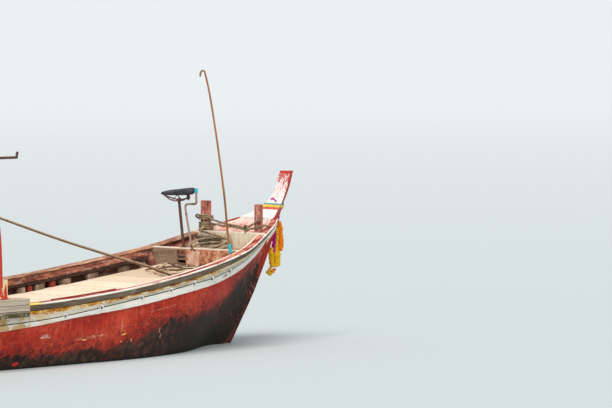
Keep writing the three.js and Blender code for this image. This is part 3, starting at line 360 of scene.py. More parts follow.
# Materials
class Look:
    """A material's node tree, built up by small calls. Places are in metres, in the object's frame."""

    def __init__(self, name, metallic=0.0, coat=0.0, sheen=0.0, shine=0.2):
        self.material = bpy.data.materials.new(name)
        self.material.use_nodes = True
        self.tree = self.material.node_tree
        self.shader = self.tree.nodes["Principled BSDF"]
        self.shader.inputs["Metallic"].default_value = metallic
        self.shader.inputs["Coat Weight"].default_value = coat
        self.shader.inputs["Sheen Weight"].default_value = sheen
        self.shader.inputs["Specular IOR Level"].default_value = shine
        self.places = self.node("ShaderNodeTexCoord").outputs["Object"]
        self.axes = self.node("ShaderNodeSeparateXYZ", Vector=self.places)

    def node(self, kind, settings=None, **inputs):
        made = self.tree.nodes.new(kind)
        for key, value in (settings or {}).items():
            setattr(made, key, value)
        for key, value in inputs.items():
            self.feed(made.inputs[key.replace("_", " ")], value)
        return made

    def feed(self, socket, value):
        if isinstance(value, bpy.types.NodeSocket):
            self.tree.links.new(value, socket)
        elif isinstance(value, tuple) and len(value) == 3 and socket.type == "RGBA":
            socket.default_value = (*value, 1)
        else:
            socket.default_value = value

    def axis(self, letter):
        return self.axes.outputs[letter]

    def attribute(self, name):
        return self.node("ShaderNodeAttribute", {"attribute_name": name}).outputs["Fac"]

    def maths(self, operation, a, b=0.0, clamp=False):
        made = self.node("ShaderNodeMath", {"operation": operation, "use_clamp": clamp})
        self.feed(made.inputs[0], a)
        self.feed(made.inputs[1], b)
        return made.outputs[0]

    def plus(self, a, b):
        return self.maths("ADD", a, b)

    def times(self, a, b):
        return self.maths("MULTIPLY", a, b)

    def grain(self, scale, detail=5.0, roughness=0.6, distortion=0.0, offset=(0, 0, 0)):
        mapping = self.node("ShaderNodeMapping", Vector=self.places, Scale=scale, Location=offset)
        made = self.node("ShaderNodeTexNoise", Vector=mapping.outputs[0], Scale=1.0, Detail=detail)
        made.inputs["Roughness"].default_value = roughness
        made.inputs["Distortion"].default_value = distortion
        return made.outputs["Fac"]

    def step(self, value, low, high):
        """0 below `low` and 1 above `high`, soft between; reversed where low is above high."""
        made = self.node("ShaderNodeMapRange", {"interpolation_type": "SMOOTHSTEP"}, Value=value)
        made.inputs["From Min"].default_value = min(low, high)
        made.inputs["From Max"].default_value = max(low, high)
        made.inputs["To Min"].default_value = 0.0 if low < high else 1.0
        made.inputs["To Max"].default_value = 1.0 if low < high else 0.0
        return made.outputs["Result"]

    def band(self, value, low, high, soft):
        return self.times(self.step(value, low - soft, low), self.step(value, high + soft, high))

    def ramp(self, value, *stops):
        made = self.node("ShaderNodeValToRGB", Fac=value)
        elements = made.color_ramp.elements
        while len(elements) < len(stops):
            elements.new(0.5)
        for element, (place, colour) in zip(elements, stops):
            element.position = place
            element.color = (*colour, 1)
        return made.outputs["Color"]

    def over(self, base, share, colour):
        made = self.node("ShaderNodeMix", {"data_type": "RGBA"})
        self.feed(made.inputs["Factor"], share)
        self.feed(made.inputs[6], base)
        self.feed(made.inputs[7], colour)
        return made.outputs[2]

    def stains(self, base, *rows):
        """Stains over each other; a row is a value, where it starts and is full, a share and a colour."""
        for value, start, full, share, colour in rows:
            base = self.over(base, self.times(self.step(value, start, full), share), colour)
        return base

    def greys(self, value, *stops):
        return self.ramp(value, *((place, (grey,) * 3) for place, grey in stops))

    def swing(self, value, share):
        """A noise value about its middle, times share."""
        return self.times(self.plus(value, -0.5), share)

    def saw(self, value):
        """How far a value is from the middle between two whole numbers, 0 to 0.5."""
        return self.maths("ABSOLUTE", self.plus(self.maths("FRACT", value), -0.5))

    def done(self, colour, roughness=0.7, height=None, distance=0.002, strength=0.6):
        self.feed(self.shader.inputs["Base Color"], colour)
        self.feed(self.shader.inputs["Roughness"], roughness)
        if height is not None:
            bump = self.node("ShaderNodeBump", Height=height, Distance=distance, Strength=strength)
            self.tree.links.new(bump.outputs["Normal"], self.shader.inputs["Normal"])
        return self.material


def shaded(colour, share):
    return tuple(share * c for c in colour)


def worn_wood(name, light, dark, stain, along="X", stain_share=0.5):
    """Weathered board: long grain, blotches and stains."""
    look = Look(name)
    stretch = {"X": (1.6, 26, 26), "Y": (26, 1.6, 26), "Z": (26, 26, 1.6)}[along]
    fibre = look.grain(stretch, 7, 0.65, 0.3)
    blotch = look.grain((5, 5, 5), 5, 0.6)
    fine = look.grain(tuple(4 * s for s in stretch), 3, 0.6)
    colour = look.ramp(fibre, (0.3, dark), (0.7, light))
    colour = look.stains(
        colour,
        (blotch, 0.5, 0.72, stain_share, stain),
        (fine, 0.6, 0.75, 0.35, shaded(dark, 0.45)),
    )
    return look.done(colour, look.greys(blotch, (0.3, 0.72), (0.8, 0.92)), fibre, 0.003)


def growth_line(look):
    """Height of the growth's upper edge along the hull, in metres."""
    share = look.times(look.plus(look.axis("X"), 0.5), 0.25)
    stops = (
        (-0.3, 0.085), (0.85, 0.09), (1.07, 0.11), (1.30, 0.16), (1.55, 0.25), (1.80, 0.31), (2.13, 0.32),
        (2.50, 0.34), (2.70, 0.34), (2.85, 0.37), (3.00, 0.46), (3.20, 0.60), (3.42, 0.68),
    )
    return look.ramp(share, *((0.25 * (x + 0.5), (z,) * 3) for x, z in stops))


def with_growth(look, colour):
    """Worn paint towards the waterline, then dark growth with flecks, and a darker band along the bottom
    edge.
    """
    z = look.axis("Z")
    mottle = look.grain((13, 13, 10), 7, 0.78, 0.5)
    coarse = look.grain((4.5, 4.5, 7), 5, 0.65, 0.4, (4, 4, 4))
    fleck = look.grain((30, 30, 38), 4, 0.75, 0.2, (7, 1, 5))
    bright = look.grain((26, 26, 30), 4, 0.75, 0.3, (1, 9, 2))
    above = look.plus(z, look.times(growth_line(look), -1))
    above = look.plus(above, look.swing(mottle, 0.32))
    above = look.plus(above, look.swing(coarse, 0.34))
    runs = look.grain((24, 24, 1.6), 5, 0.7, 0.2, (5, 5, 1))
    bow = look.step(look.axis("X"), 2.3, 2.9)
    above = look.plus(above, look.times(look.swing(runs, 0.8), bow))
    worn = look.step(above, 0.26, 0.0)
    colour = look.stains(
        colour,
        (mottle, 0.46, 0.56, worn, (0.15, 0.022, 0.014)),
        (fleck, 0.46, 0.40, worn, (0.030, 0.012, 0.010)),
        (bright, 0.60, 0.66, worn, (0.58, 0.050, 0.022)),
    )
    weed = look.ramp(
        mottle, (0.38, (0.012, 0.007, 0.006)), (0.52, (0.045, 0.024, 0.017)), (0.64, (0.15, 0.085, 0.055))
    )
    weed = look.stains(
        weed,
        (look.axis("X"), 1.3, 2.0, 0.7, (0.016, 0.010, 0.009)),
        (bright, 0.58, 0.64, 0.75, (0.26, 0.035, 0.018)),
        (fleck, 0.66, 0.70, 0.6, (0.34, 0.22, 0.13)),
    )
    deep = look.times(look.step(look.axis("X"), 1.8, 2.4), look.step(z, 0.22, 0.10))
    weed = look.over(weed, look.times(deep, 0.8), (0.014, 0.016, 0.010))
    colour = look.stains(colour, (above, 0.045, -0.03, 1, weed))
    # darker band along the bottom edge of the hull
    dark_bottom = look.step(look.plus(z, look.times(mottle, 0.03)), 0.050, 0.022)
    return look.over(colour, look.times(dark_bottom, 0.85), (0.014, 0.012, 0.009)), mottle


def stroke(look, colour, where, half, share, paint, breaks=0.0, rise=0.0):
    """A scratch on the starboard side: its centre and half size in X and Z, and how broken it is."""
    x, z = look.axis("X"), look.axis("Z")
    rough = look.swing(look.grain((34, 34, 40), 6, 0.8, 0.6, (where[0], 3, where[1])), 5.0)
    along = look.times(look.plus(x, -where[0]), 1 / half[0])
    level = look.plus(z, look.times(look.plus(x, -where[0]), -rise))
    high = look.times(look.plus(level, -where[1]), 1 / half[1])
    far = look.plus(look.times(along, along), look.times(high, high))
    inside = look.step(look.plus(far, rough), 1.25, 0.75)
    if breaks:
        marks = look.grain((15, 15, 74), 6, 0.75, 1.2, (where[1], 5, 1))
        inside = look.times(inside, look.step(marks, 0.36 + 0.2 * breaks, 0.50 + 0.2 * breaks))
    near = look.step(look.axis("Y"), 0.0, -0.1)
    return look.over(colour, look.times(look.times(inside, near), share), paint)


def bow_lines(look, colour):
    """The strake's white and the rail's grey run on over the planks' ends and the stem's sides."""
    x, z = look.axis("X"), look.axis("Z")
    rise = look.plus(z, look.plus(look.times(x, -0.945), 2.652))
    here = look.times(look.step(x, 3.70, 3.71), look.step(x, 3.870, 3.862))
    white = look.times(look.step(rise, -0.003, 0.003), look.step(rise, 0.047, 0.041))
    grey = look.times(look.step(rise, 0.041, 0.047), look.step(rise, 0.078, 0.072))
    colour = look.over(colour, look.times(here, white), (0.74, 0.68, 0.58))
    return look.over(colour, look.times(here, grey), (0.20, 0.17, 0.13))


def hull_red():
    look = Look("hull_red")
    x = look.axis("X")
    patches = look.grain((1.6, 1.6, 4.5), 7, 0.68, 0.3)
    drips = look.grain((30, 30, 2.0), 5, 0.7, 0.1, (3, 1, 0))
    spots = look.grain((24, 24, 20), 5, 0.75, 0.3, (8, 8, 8))
    scrape = look.grain((1.6, 1.6, 46), 5, 0.65, 0.6, (5, 2, 7))
    colour = look.ramp(
        patches, (0.36, (0.32, 0.016, 0.009)), (0.5, (0.48, 0.028, 0.012)), (0.62, (0.60, 0.065, 0.030))
    )
    colour = look.stains(
        colour,
        (drips, 0.52, 0.66, 0.6, (0.25, 0.015, 0.010)),
        (drips, 0.46, 0.36, 0.5, (0.62, 0.11, 0.060)),
        (spots, 0.56, 0.64, 0.7, (0.19, 0.016, 0.011)),
        (spots, 0.42, 0.36, 0.5, (0.66, 0.12, 0.06)),
        (scrape, 0.60, 0.68, 0.40, (0.60, 0.20, 0.13)),
    )
    colour, mottle = with_growth(look, colour)
    # pale scratches close to the stem
    runs = look.grain((26, 26, 2.4), 5, 0.75, 0.3, (5, 5, 1))
    close = look.times(look.step(x, 3.16, 3.34), look.step(look.axis("Z"), 0.42, 0.60))
    colour = look.over(
        colour, look.times(look.times(close, look.step(runs, 0.60, 0.66)), 0.75), (0.74, 0.46, 0.40)
    )
    # seams between the planks
    drop = look.attribute("drop")
    seam = look.saw(look.times(drop, 1 / PLANK_SEAM))
    seam = look.step(seam, 0.487, 0.498)
    colour = look.over(colour, look.times(seam, 0.25), (0.06, 0.010, 0.008))
    for mark in (
        ((1.096, 0.298), (0.0035, 0.055), 0.75, (0.80, 0.58, 0.34), 0.1),
        ((1.135, 0.226), (0.036, 0.0045), 0.95, (0.90, 0.62, 0.10), 0, 0.16),
        ((0.165, 0.258), (0.060, 0.020), 0.8, (0.74, 0.62, 0.52), 0.55),
        ((0.700, 0.222), (0.200, 0.014), 0.75, (0.76, 0.52, 0.32), 0.6, 0.08),
        ((0.645, 0.206), (0.026, 0.005), 0.9, (0.88, 0.62, 0.12)),
        ((-0.120, 0.047), (0.034, 0.018), 0.95, (0.66, 0.035, 0.018)),
        ((1.240, 0.171), (0.006, 0.013), 0.9, (0.80, 0.50, 0.26)),
        ((1.110, 0.166), (0.012, 0.006), 0.9, (0.80, 0.55, 0.20)),
        ((1.625, 0.235), (0.005, 0.024), 0.7, (0.72, 0.50, 0.30)),
        ((1.650, 0.185), (0.005, 0.022), 0.7, (0.72, 0.42, 0.24)),
        ((1.720, 0.425), (0.150, 0.0035), 0.55, (0.70, 0.34, 0.24), 0.3, 0.13),
        ((0.400, 0.390), (0.260, 0.0030), 0.45, (0.62, 0.24, 0.16), 0.4, 0.02),
        ((2.330, 0.520), (0.160, 0.0035), 0.45, (0.66, 0.28, 0.20), 0.4, 0.24),
    ):
        colour = stroke(look, colour, *mark)
    colour = bow_lines(look, colour)
    # the inner faces: dark wood, its darkness aft of the fore bulkhead partly painted shade, worn and pale
    # towards the bow
    wood = look.grain((2.2, 22, 16), 6, 0.7, 0.3, (6, 3, 1))
    dark = look.ramp(
        wood, (0.35, (0.030, 0.016, 0.013)), (0.55, (0.11, 0.040, 0.028)), (0.72, (0.36, 0.22, 0.14))
    )
    brown = look.ramp(
        wood, (0.38, (0.12, 0.030, 0.020)), (0.5, (0.30, 0.085, 0.055)), (0.62, (0.52, 0.27, 0.17))
    )
    worn = look.ramp(
        wood, (0.38, (0.46, 0.10, 0.075)), (0.48, (0.74, 0.46, 0.36)), (0.60, (0.90, 0.80, 0.68))
    )
    dark = look.stains(
        dark,
        (x, 2.78, 2.84, 1, brown),
        (look.plus(x, look.times(wood, 0.2)), 3.28, 3.36, 1, worn),
    )
    colour = look.stains(colour, (look.attribute("inside"), 0.4, 0.6, 1, dark))
    height = look.plus(look.times(mottle, 0.5), look.times(seam, -0.8))
    rough = look.greys(mottle, (0.3, 0.60), (0.75, 0.88))
    return look.done(colour, rough, height, 0.004, 0.5)


def stem_red():
    look = Look("stem_red")
    streak = look.grain((20, 20, 3), 5, 0.7, 0.2)
    colour = look.ramp(streak, (0.34, (0.28, 0.018, 0.011)), (0.6, (0.48, 0.032, 0.016)))
    colour = look.stains(colour, (streak, 0.62, 0.70, 0.6, (0.66, 0.36, 0.28)))
    low = look.step(look.plus(look.axis("Z"), look.swing(streak, 0.5)), 0.70, 0.52)
    mottle = look.grain((13, 13, 10), 7, 0.78, 0.5)
    fleck = look.grain((30, 30, 38), 4, 0.75, 0.2, (7, 1, 5))
    colour = look.over(
        colour, low, look.ramp(mottle, (0.4, (0.022, 0.010, 0.008)), (0.6, (0.13, 0.030, 0.020)))
    )
    colour = look.stains(colour, (fleck, 0.58, 0.64, low, (0.46, 0.20, 0.14)))
    return look.done(bow_lines(look, colour), 0.8, mottle, 0.003, 0.5)


def strake_white():
    look = Look("strake_white")
    across, x = look.attribute("across"), look.axis("X")
    long_grain = look.grain((1.8, 24, 24), 6, 0.68, 0.3)
    spots = look.grain((15, 15, 22), 6, 0.75, 0.2)
    rust = look.grain((5, 5, 12), 6, 0.72, 0.3, (2, 8, 1))
    upper = look.ramp(
        long_grain, (0.32, (0.34, 0.28, 0.19)), (0.52, (0.56, 0.50, 0.38)), (0.70, (0.80, 0.76, 0.66))
    )
    lower = look.ramp(long_grain, (0.30, (0.60, 0.62, 0.54)), (0.52, (0.84, 0.80, 0.72)))
    colour = look.stains(upper, (across, 0.50, 0.53, 1, lower))
    upper_left = look.times(look.step(across, 0.5, 0.45), look.step(x, 1.1, 0.5))
    colour = look.over(colour, look.times(upper_left, 0.6), (0.76, 0.72, 0.62))
    aft = look.step(look.plus(x, look.times(rust, 0.5)), 0.62, 0.12)
    colour = look.over(
        colour, look.times(aft, look.times(look.step(rust, 0.44, 0.54), 0.85)), (0.58, 0.34, 0.085)
    )
    colour = look.stains(colour, (spots, 0.60, 0.66, aft, (0.09, 0.055, 0.03)))
    # rust and old paint under the rail, as far as the fore deck
    wide = look.times(look.step(x, 1.3, 0.7), -0.06)
    top = look.step(look.plus(look.plus(across, wide), look.swing(spots, 0.5)), 0.22, 0.08)
    colour = look.over(colour, top, (0.82, 0.68, 0.42))
    rusty = look.times(top, look.step(x, 2.55, 2.3))
    colour = look.stains(
        colour,
        (rust, 0.43, 0.49, rusty, (0.66, 0.28, 0.022)),
        (rust, 0.54, 0.58, rusty, (0.22, 0.040, 0.012)),
        (spots, 0.42, 0.37, top, (0.07, 0.045, 0.03)),
    )
    edge = look.step(look.plus(across, look.swing(spots, 0.30)), 0.955, 1.0)
    colour = look.over(colour, look.times(edge, 0.85), (0.46, 0.12, 0.06))
    colour = look.stains(colour, (spots, 0.66, 0.74, 0.55, (0.42, 0.32, 0.20)))
    groove = look.band(across, 0.475, 0.52, 0.025)
    colour = look.over(colour, look.times(groove, 0.88), (0.075, 0.068, 0.045))
    return look.done(colour, 0.7, look.plus(long_grain, look.times(groove, -1.5)), 0.003, 0.4)


def cap_paint():
    look = Look("cap_paint")
    across, x, y = look.attribute("across"), look.axis("X"), look.axis("Y")
    chips = look.grain((4.2, 20, 20), 6, 0.72, 0.4)
    white = look.ramp(chips, (0.3, (0.72, 0.62, 0.50)), (0.6, (0.90, 0.85, 0.76)))
    red = look.ramp(
        chips, (0.38, (0.20, 0.018, 0.013)), (0.50, (0.40, 0.035, 0.025)), (0.60, (0.70, 0.36, 0.28))
    )
    tan = look.ramp(
        chips, (0.35, (0.18, 0.070, 0.042)), (0.5, (0.38, 0.18, 0.115)), (0.66, (0.68, 0.45, 0.31))
    )
    worn = look.swing(chips, 0.4)
    # red inside and white along the outer edge; a cream line shows inside the red towards the bow
    pale = look.times(look.step(x, 1.0, 1.25), look.step(x, 1.9, 1.6))
    red = look.over(red, look.times(pale, 0.6), (0.72, 0.42, 0.34))
    colour = look.stains(red, (look.plus(across, worn), 0.90, 0.95, 1, white))
    wide = look.plus(0.22, look.times(look.times(look.step(x, 1.05, 1.2), look.step(x, 2.7, 2.3)), 0.16))
    cream = look.step(look.plus(look.plus(across, worn), look.times(wide, -1)), 0.03, -0.03)
    cream = look.times(cream, look.step(x, 1.05, 1.2))
    colour = look.over(colour, cream, (0.82, 0.72, 0.58))
    colour = look.stains(colour, (y, 0.0, 0.05, look.step(x, 3.42, 3.25), tan))
    yellow = look.times(look.band(x, -0.145, 0.01, 0.05), look.step(look.plus(across, worn), 0.30, 0.5))
    colour = look.stains(colour, (chips, 0.58, 0.50, yellow, (0.90, 0.62, 0.13)))
    patch = look.times(
        look.step(look.grain((9, 9, 9), 5, 0.7, 0, (3, 3, 3)), 0.56, 0.62), look.step(x, 2.2, 2.6)
    )
    colour = look.stains(
        colour,
        (x, 3.2, 2.9, patch, (0.60, 0.24, 0.10)),
        (chips, 0.62, 0.68, 0.5, (0.34, 0.22, 0.14)),
    )
    return look.done(colour, 0.75, chips, 0.003, 0.4)


def deck_cream():
    look = Look("deck_cream")
    x = look.axis("X")
    fibre = look.grain((34, 1.3, 34), 7, 0.65, 0.25)
    fine = look.grain((90, 3.0, 90), 4, 0.6, 0.1)
    wear = look.grain((2.6, 1.6, 2.6), 5, 0.6)
    board = look.maths("FLOOR", look.times(look.plus(x, 0.4), 1 / DECK_BOARD))
    tone = look.node("ShaderNodeTexWhiteNoise", {"noise_dimensions": "1D"}, W=board).outputs["Value"]
    light = look.ramp(tone, (0.0, (0.76, 0.60, 0.42)), (0.5, (0.84, 0.69, 0.51)), (1.0, (0.90, 0.78, 0.61)))
    colour = look.stains(
        light,
        (fibre, 0.48, 0.68, 0.5, (0.66, 0.42, 0.27)),
        (fine, 0.60, 0.70, 0.5, (0.52, 0.24, 0.15)),
        (wear, 0.56, 0.74, 0.4, (0.74, 0.58, 0.42)),
        (x, 1.95, 2.7, 0.45, (0.46, 0.31, 0.19)),
    )
    joint = look.saw(look.times(look.plus(x, 0.4), 1 / DECK_BOARD))
    colour = look.stains(colour, (joint, 0.470, 0.492, 0.55, (0.40, 0.16, 0.10)))
    return look.done(colour, 0.88, look.plus(fibre, look.times(fine, 0.5)), 0.003, 0.5)


def head_paint():
    look = Look("head_paint")
    z = look.axis("Z")
    edge, face = look.attribute("edge"), look.attribute("face")
    streak = look.grain((78, 78, 2.4), 6, 0.75, 0.15)
    chips = look.grain((34, 34, 26), 5, 0.75)
    white = look.ramp(chips, (0.34, (0.74, 0.56, 0.49)), (0.50, (0.86, 0.80, 0.76)))
    red = look.ramp(chips, (0.3, (0.34, 0.022, 0.020)), (0.7, (0.60, 0.060, 0.045)))
    # runs of red paint that thin out below the top
    fall = look.plus(streak, look.times(look.plus(z, -1.436), 0.66))
    drip = look.step(fall, 0.455, 0.505)
    rim = look.step(look.plus(edge, look.swing(chips, 0.5)), 0.90, 0.98)
    rim = look.times(rim, look.step(look.plus(z, look.times(streak, 0.2)), 1.42, 1.50))
    top = look.step(z, 1.468, 1.476)
    share = look.maths("MAXIMUM", look.maths("MAXIMUM", drip, rim), top)
    pink = look.times(
        look.step(streak, 0.50, 0.64), look.plus(0.4, look.times(look.step(z, 1.20, 1.34), 0.35))
    )
    colour = look.over(white, pink, (0.76, 0.34, 0.29))
    colour = look.over(colour, share, red)
    side = look.stains(
        red,
        (streak, 0.56, 0.66, 0.6, (0.16, 0.014, 0.012)),
        (chips, 0.66, 0.72, 0.6, (0.74, 0.50, 0.44)),
    )
    colour = look.over(colour, face, side)
    return look.done(colour, 0.72, chips, 0.003, 0.4)


def bulkhead_boards():
    """Grey board to port, darker slats, and a reddish board to starboard, with a pale top edge."""
    look = Look("bulkhead_boards")
    y, z = look.axis("Y"), look.axis("Z")
    fibre = look.grain((24, 2.2, 26), 6, 0.72, 0.3)
    wear = look.grain((13, 13, 16), 7, 0.78, 0.4, (2, 2, 5))
    grey = look.ramp(
        fibre, (0.33, (0.17, 0.105, 0.070)), (0.52, (0.29, 0.19, 0.125)), (0.70, (0.44, 0.32, 0.23))
    )
    slats = look.ramp(fibre, (0.33, (0.11, 0.06, 0.04)), (0.6, (0.34, 0.20, 0.12)))
    red = look.ramp(
        wear, (0.38, (0.24, 0.070, 0.038)), (0.47, (0.50, 0.17, 0.085)), (0.58, (0.70, 0.42, 0.26))
    )
    colour = look.stains(
        grey,
        (y, 0.234, 0.228, 1, slats),
        (y, 0.124, 0.118, 1, red),
        (wear, 0.58, 0.66, 0.5, (0.72, 0.48, 0.34)),
    )
    crest = look.step(look.plus(z, look.swing(fibre, 0.012)), 0.838, 0.843)
    colour = look.stains(colour, (wear, 0.66, 0.56, crest, (0.90, 0.78, 0.62)))
    return look.done(colour, 0.85, fibre, 0.003, 0.5)


def well_boards():
    """Pale weathered boards with a cream edge, an orange-brown strip at the foot and a painted shadow behind
    the rope coil.
    """
    look = Look("well_boards")
    z = look.axis("Z")
    fibre = look.grain((40, 30, 5), 7, 0.78, 0.3)
    wear = look.grain((11, 11, 13), 7, 0.76, 0.3, (2, 7, 5))
    colour = look.ramp(
        fibre, (0.34, (0.46, 0.28, 0.17)), (0.46, (0.76, 0.60, 0.42)), (0.62, (0.92, 0.82, 0.64))
    )
    colour = look.stains(colour, (wear, 0.56, 0.64, 0.6, (0.42, 0.20, 0.12)))
    # painted shadow behind the rope coil, on the port half of the boards below their top
    coil_shadow = look.times(
        look.step(look.axis("Y"), 0.02, 0.09),
        look.step(look.plus(z, look.times(wear, 0.06)), 0.985, 0.950)
    )
    colour = look.over(colour, look.times(coil_shadow, 0.88), (0.050, 0.030, 0.020))
    colour = look.stains(
        colour,
        (z, 0.968, 0.972, 1, (0.92, 0.82, 0.66)),
        (z, 0.838, 0.828, 1, (0.58, 0.26, 0.055)),
    )
    return look.done(colour, 0.85, fibre, 0.003, 0.5)


def platform_paint():
    look = Look("platform_paint")
    x = look.axis("X")
    fibre = look.grain((7, 20, 20), 7, 0.78, 0.5)
    wear = look.grain((9, 9, 9), 6, 0.75, 0.4, (5, 2, 5))
    colour = look.ramp(
        fibre, (0.38, (0.40, 0.055, 0.042)), (0.47, (0.72, 0.30, 0.24)), (0.56, (0.86, 0.62, 0.50))
    )
    colour = look.stains(
        colour,
        (wear, 0.54, 0.59, 0.85, (0.46, 0.050, 0.038)),
        (wear, 0.44, 0.38, 0.7, (0.90, 0.80, 0.68)),
    )
    near_head = look.step(look.plus(x, look.swing(wear, 0.5)), 3.50, 3.58)
    colour = look.over(colour, look.times(near_head, 0.85), (0.80, 0.60, 0.52))
    return look.done(colour, 0.75, fibre, 0.002, 0.4)


def over_cap(look):
    """The height over the cap's edge beside the fore deck, by a curve through three of its places."""
    first, middle, last = cap_z(0) * MM, cap_z(1400) * MM, cap_z(2800) * MM
    bend = (first - 2 * middle + last) / (2 * 1.4**2)
    slope = (middle - first) / 1.4 - bend * 1.4
    x = look.axis("X")
    line = look.plus(look.times(look.plus(look.times(x, bend), slope), x), first)
    return look.plus(look.axis("Z"), look.times(line, -1))


def inner_boards():
    """Old red paint, dark and peeling, with grey and pale patches, and painted shade along the lower edge
    beside the fore deck.
    """
    look = Look("inner_board")
    fibre = look.grain((3, 24, 24), 7, 0.75, 0.4)
    wear = look.grain((7, 7, 16), 6, 0.75, 0.5, (4, 2, 9))
    spots = look.grain((20, 20, 26), 5, 0.75, 0.3)
    colour = look.ramp(
        fibre, (0.38, (0.085, 0.026, 0.018)), (0.5, (0.27, 0.085, 0.052)), (0.62, (0.46, 0.20, 0.13))
    )
    colour = look.stains(
        colour,
        (wear, 0.54, 0.62, 0.6, (0.42, 0.27, 0.19)),
        (wear, 0.44, 0.38, 0.8, (0.050, 0.020, 0.016)),
        (spots, 0.60, 0.66, 0.7, (0.62, 0.46, 0.36)),
    )
    # painted shade along the lower edge beside the fore deck
    edge = look.plus(over_cap(look), look.swing(wear, 0.05))
    deck_edge_shade = look.times(look.step(edge, -0.060, -0.068), look.step(look.axis("X"), 0.2, 0.5))
    colour = look.over(colour, look.times(deck_edge_shade, 0.9), (0.020, 0.011, 0.008))
    return look.done(colour, 0.85, fibre, 0.003, 0.6)


def post_wood():
    """Red paint on posts, worn through to grey and cream along the grain."""
    look = Look("post_wood")
    fibre = look.grain((30, 30, 5), 7, 0.78, 0.3)
    wear = look.grain((22, 22, 9), 6, 0.76, 0.4, (3, 8, 2))
    colour = look.ramp(
        fibre, (0.38, (0.16, 0.030, 0.022)), (0.48, (0.42, 0.10, 0.070)), (0.60, (0.60, 0.27, 0.20))
    )
    colour = look.stains(
        colour,
        (wear, 0.54, 0.60, 0.8, (0.52, 0.43, 0.36)),
        (wear, 0.42, 0.37, 0.8, (0.10, 0.040, 0.030)),
    )
    return look.done(colour, 0.82, fibre, 0.003, 0.5)


def frame_red():
    """Red pipe paint with yellow and cream chips, most of them near the feet."""
    look = Look("frame_red", metallic=0.1)
    chips = look.grain((16, 16, 9), 6, 0.72, 0.3)
    fine = look.grain((70, 70, 40), 4, 0.7)
    low = look.step(look.plus(look.axis("Z"), look.times(chips, 0.5)), 1.25, 0.95)
    colour = look.ramp(fine, (0.3, (0.42, 0.030, 0.016)), (0.7, (0.64, 0.060, 0.026)))
    spots = look.step(look.plus(chips, look.times(low, 0.06)), 0.60, 0.64)
    colour = look.over(
        colour, spots, look.ramp(fine, (0.42, (0.80, 0.36, 0.05)), (0.56, (0.84, 0.74, 0.58)))
    )
    return look.done(colour, 0.5, chips, 0.001, 0.5)


def guard_boards():
    """Three boards one above the other; the lowest is stained dark green and brown."""
    look = Look("guard_wood")
    level = look.attribute("level")
    fibre = look.grain((1.6, 26, 30), 7, 0.7, 0.3)
    spots = look.grain((11, 11, 15), 6, 0.75, 0.2)
    colour = look.ramp(
        fibre, (0.34, (0.34, 0.26, 0.18)), (0.52, (0.50, 0.41, 0.31)), (0.70, (0.66, 0.58, 0.48))
    )
    colour = look.stains(colour, (spots, 0.60, 0.70, 0.5, (0.22, 0.15, 0.09)))
    low = look.step(look.plus(level, look.times(spots, 0.3)), 0.50, 0.36)
    colour = look.stains(colour, (spots, 0.40, 0.52, low, (0.075, 0.060, 0.026)))
    for height in (0.31, 0.655):
        colour = look.over(
            colour, look.times(look.band(level, height - 0.012, height + 0.012, 0.012), 0.8),
            (0.05, 0.035, 0.02)
        )
    return look.done(colour, 0.85, fibre, 0.003, 0.5)


def plain_paint(name, light, dark, chip, amount=0.5, scale=(7, 7, 7), roughness=0.55):
    """Paint with soft blotches and chips down to another colour."""
    look = Look(name)
    blotch = look.grain(scale, 6, 0.65, 0.2)
    chips = look.grain(tuple(5 * s for s in scale), 5, 0.7)
    colour = look.ramp(blotch, (0.3, dark), (0.7, light))
    colour = look.stains(colour, (chips, 0.60, 0.66, amount, chip))
    return look.done(
        colour, look.greys(chips, (0.3, roughness), (0.8, min(roughness + 0.25, 1))), blotch, 0.001
    )


def cane():
    look = Look("cane")
    fibre = look.grain((3, 90, 90), 4, 0.6)
    ring = look.attribute("along")
    joint = look.saw(look.times(ring, 1 / CANE_JOINT))
    colour = look.ramp(fibre, (0.3, (0.30, 0.17, 0.08)), (0.7, (0.52, 0.33, 0.18)))
    colour = look.stains(
        colour,
        (look.grain((4, 4, 4), 3), 0.5, 0.7, 0.5, (0.60, 0.42, 0.27)),
        (joint, 0.472, 0.49, 0.8, (0.12, 0.06, 0.03)),
    )
    # painted shade: the underside of the cane is darker
    facing = look.node("ShaderNodeSeparateXYZ", Vector=look.node("ShaderNodeNewGeometry").outputs["Normal"])
    colour = look.stains(colour, (facing.outputs["Z"], 0.15, -0.35, 0.8, (0.11, 0.050, 0.028)))
    return look.done(colour, 0.5, fibre, 0.001, 0.3)


def rope_look(name, light, dark, pitch=0.055):
    look = Look(name)
    turns = look.plus(
        look.times(look.attribute("along"), 1 / pitch), look.times(look.attribute("around"), 3)
    )
    strand = look.saw(turns)
    dirt = look.grain((12, 12, 12), 5, 0.6)
    fuzz = look.grain((160, 160, 160), 3, 0.6)
    colour = look.ramp(dirt, (0.3, dark), (0.65, light))
    # painted shade in the grooves between the strands
    colour = look.stains(colour, (strand, 0.14, 0.02, 1, shaded(dark, 0.35)))
    return look.done(colour, 0.92, look.plus(strand, look.times(fuzz, 0.3)), 0.006, 0.9)


def vinyl():
    look = Look("vinyl", coat=0.15)
    pores = look.node("ShaderNodeTexVoronoi", Vector=look.places, Scale=420.0).outputs["Distance"]
    scuff = look.grain((22, 22, 22), 5, 0.7)
    colour = look.ramp(scuff, (0.35, (0.012, 0.012, 0.016)), (0.75, (0.06, 0.06, 0.075)))
    return look.done(colour, look.greys(scuff, (0.3, 0.35), (0.8, 0.62)), pores, 0.0006, 0.4)


def rusty(name, paint, rust, share=0.5):
    look = Look(name, metallic=0.25)
    patch = look.grain((11, 11, 11), 6, 0.7, 0.3)
    fine = look.grain((70, 70, 70), 4, 0.7)
    colour = look.stains(
        look.ramp(fine, (0.3, paint), (0.7, shaded(paint, 1.3))),
        (patch, 0.62 - 0.25 * share, 0.66 - 0.2 * share, 1, rust),
        (fine, 0.62, 0.7, 0.5, shaded(rust, 0.5)),
    )
    return look.done(colour, look.greys(patch, (0.3, 0.45), (0.7, 0.85)), fine, 0.001, 0.6)


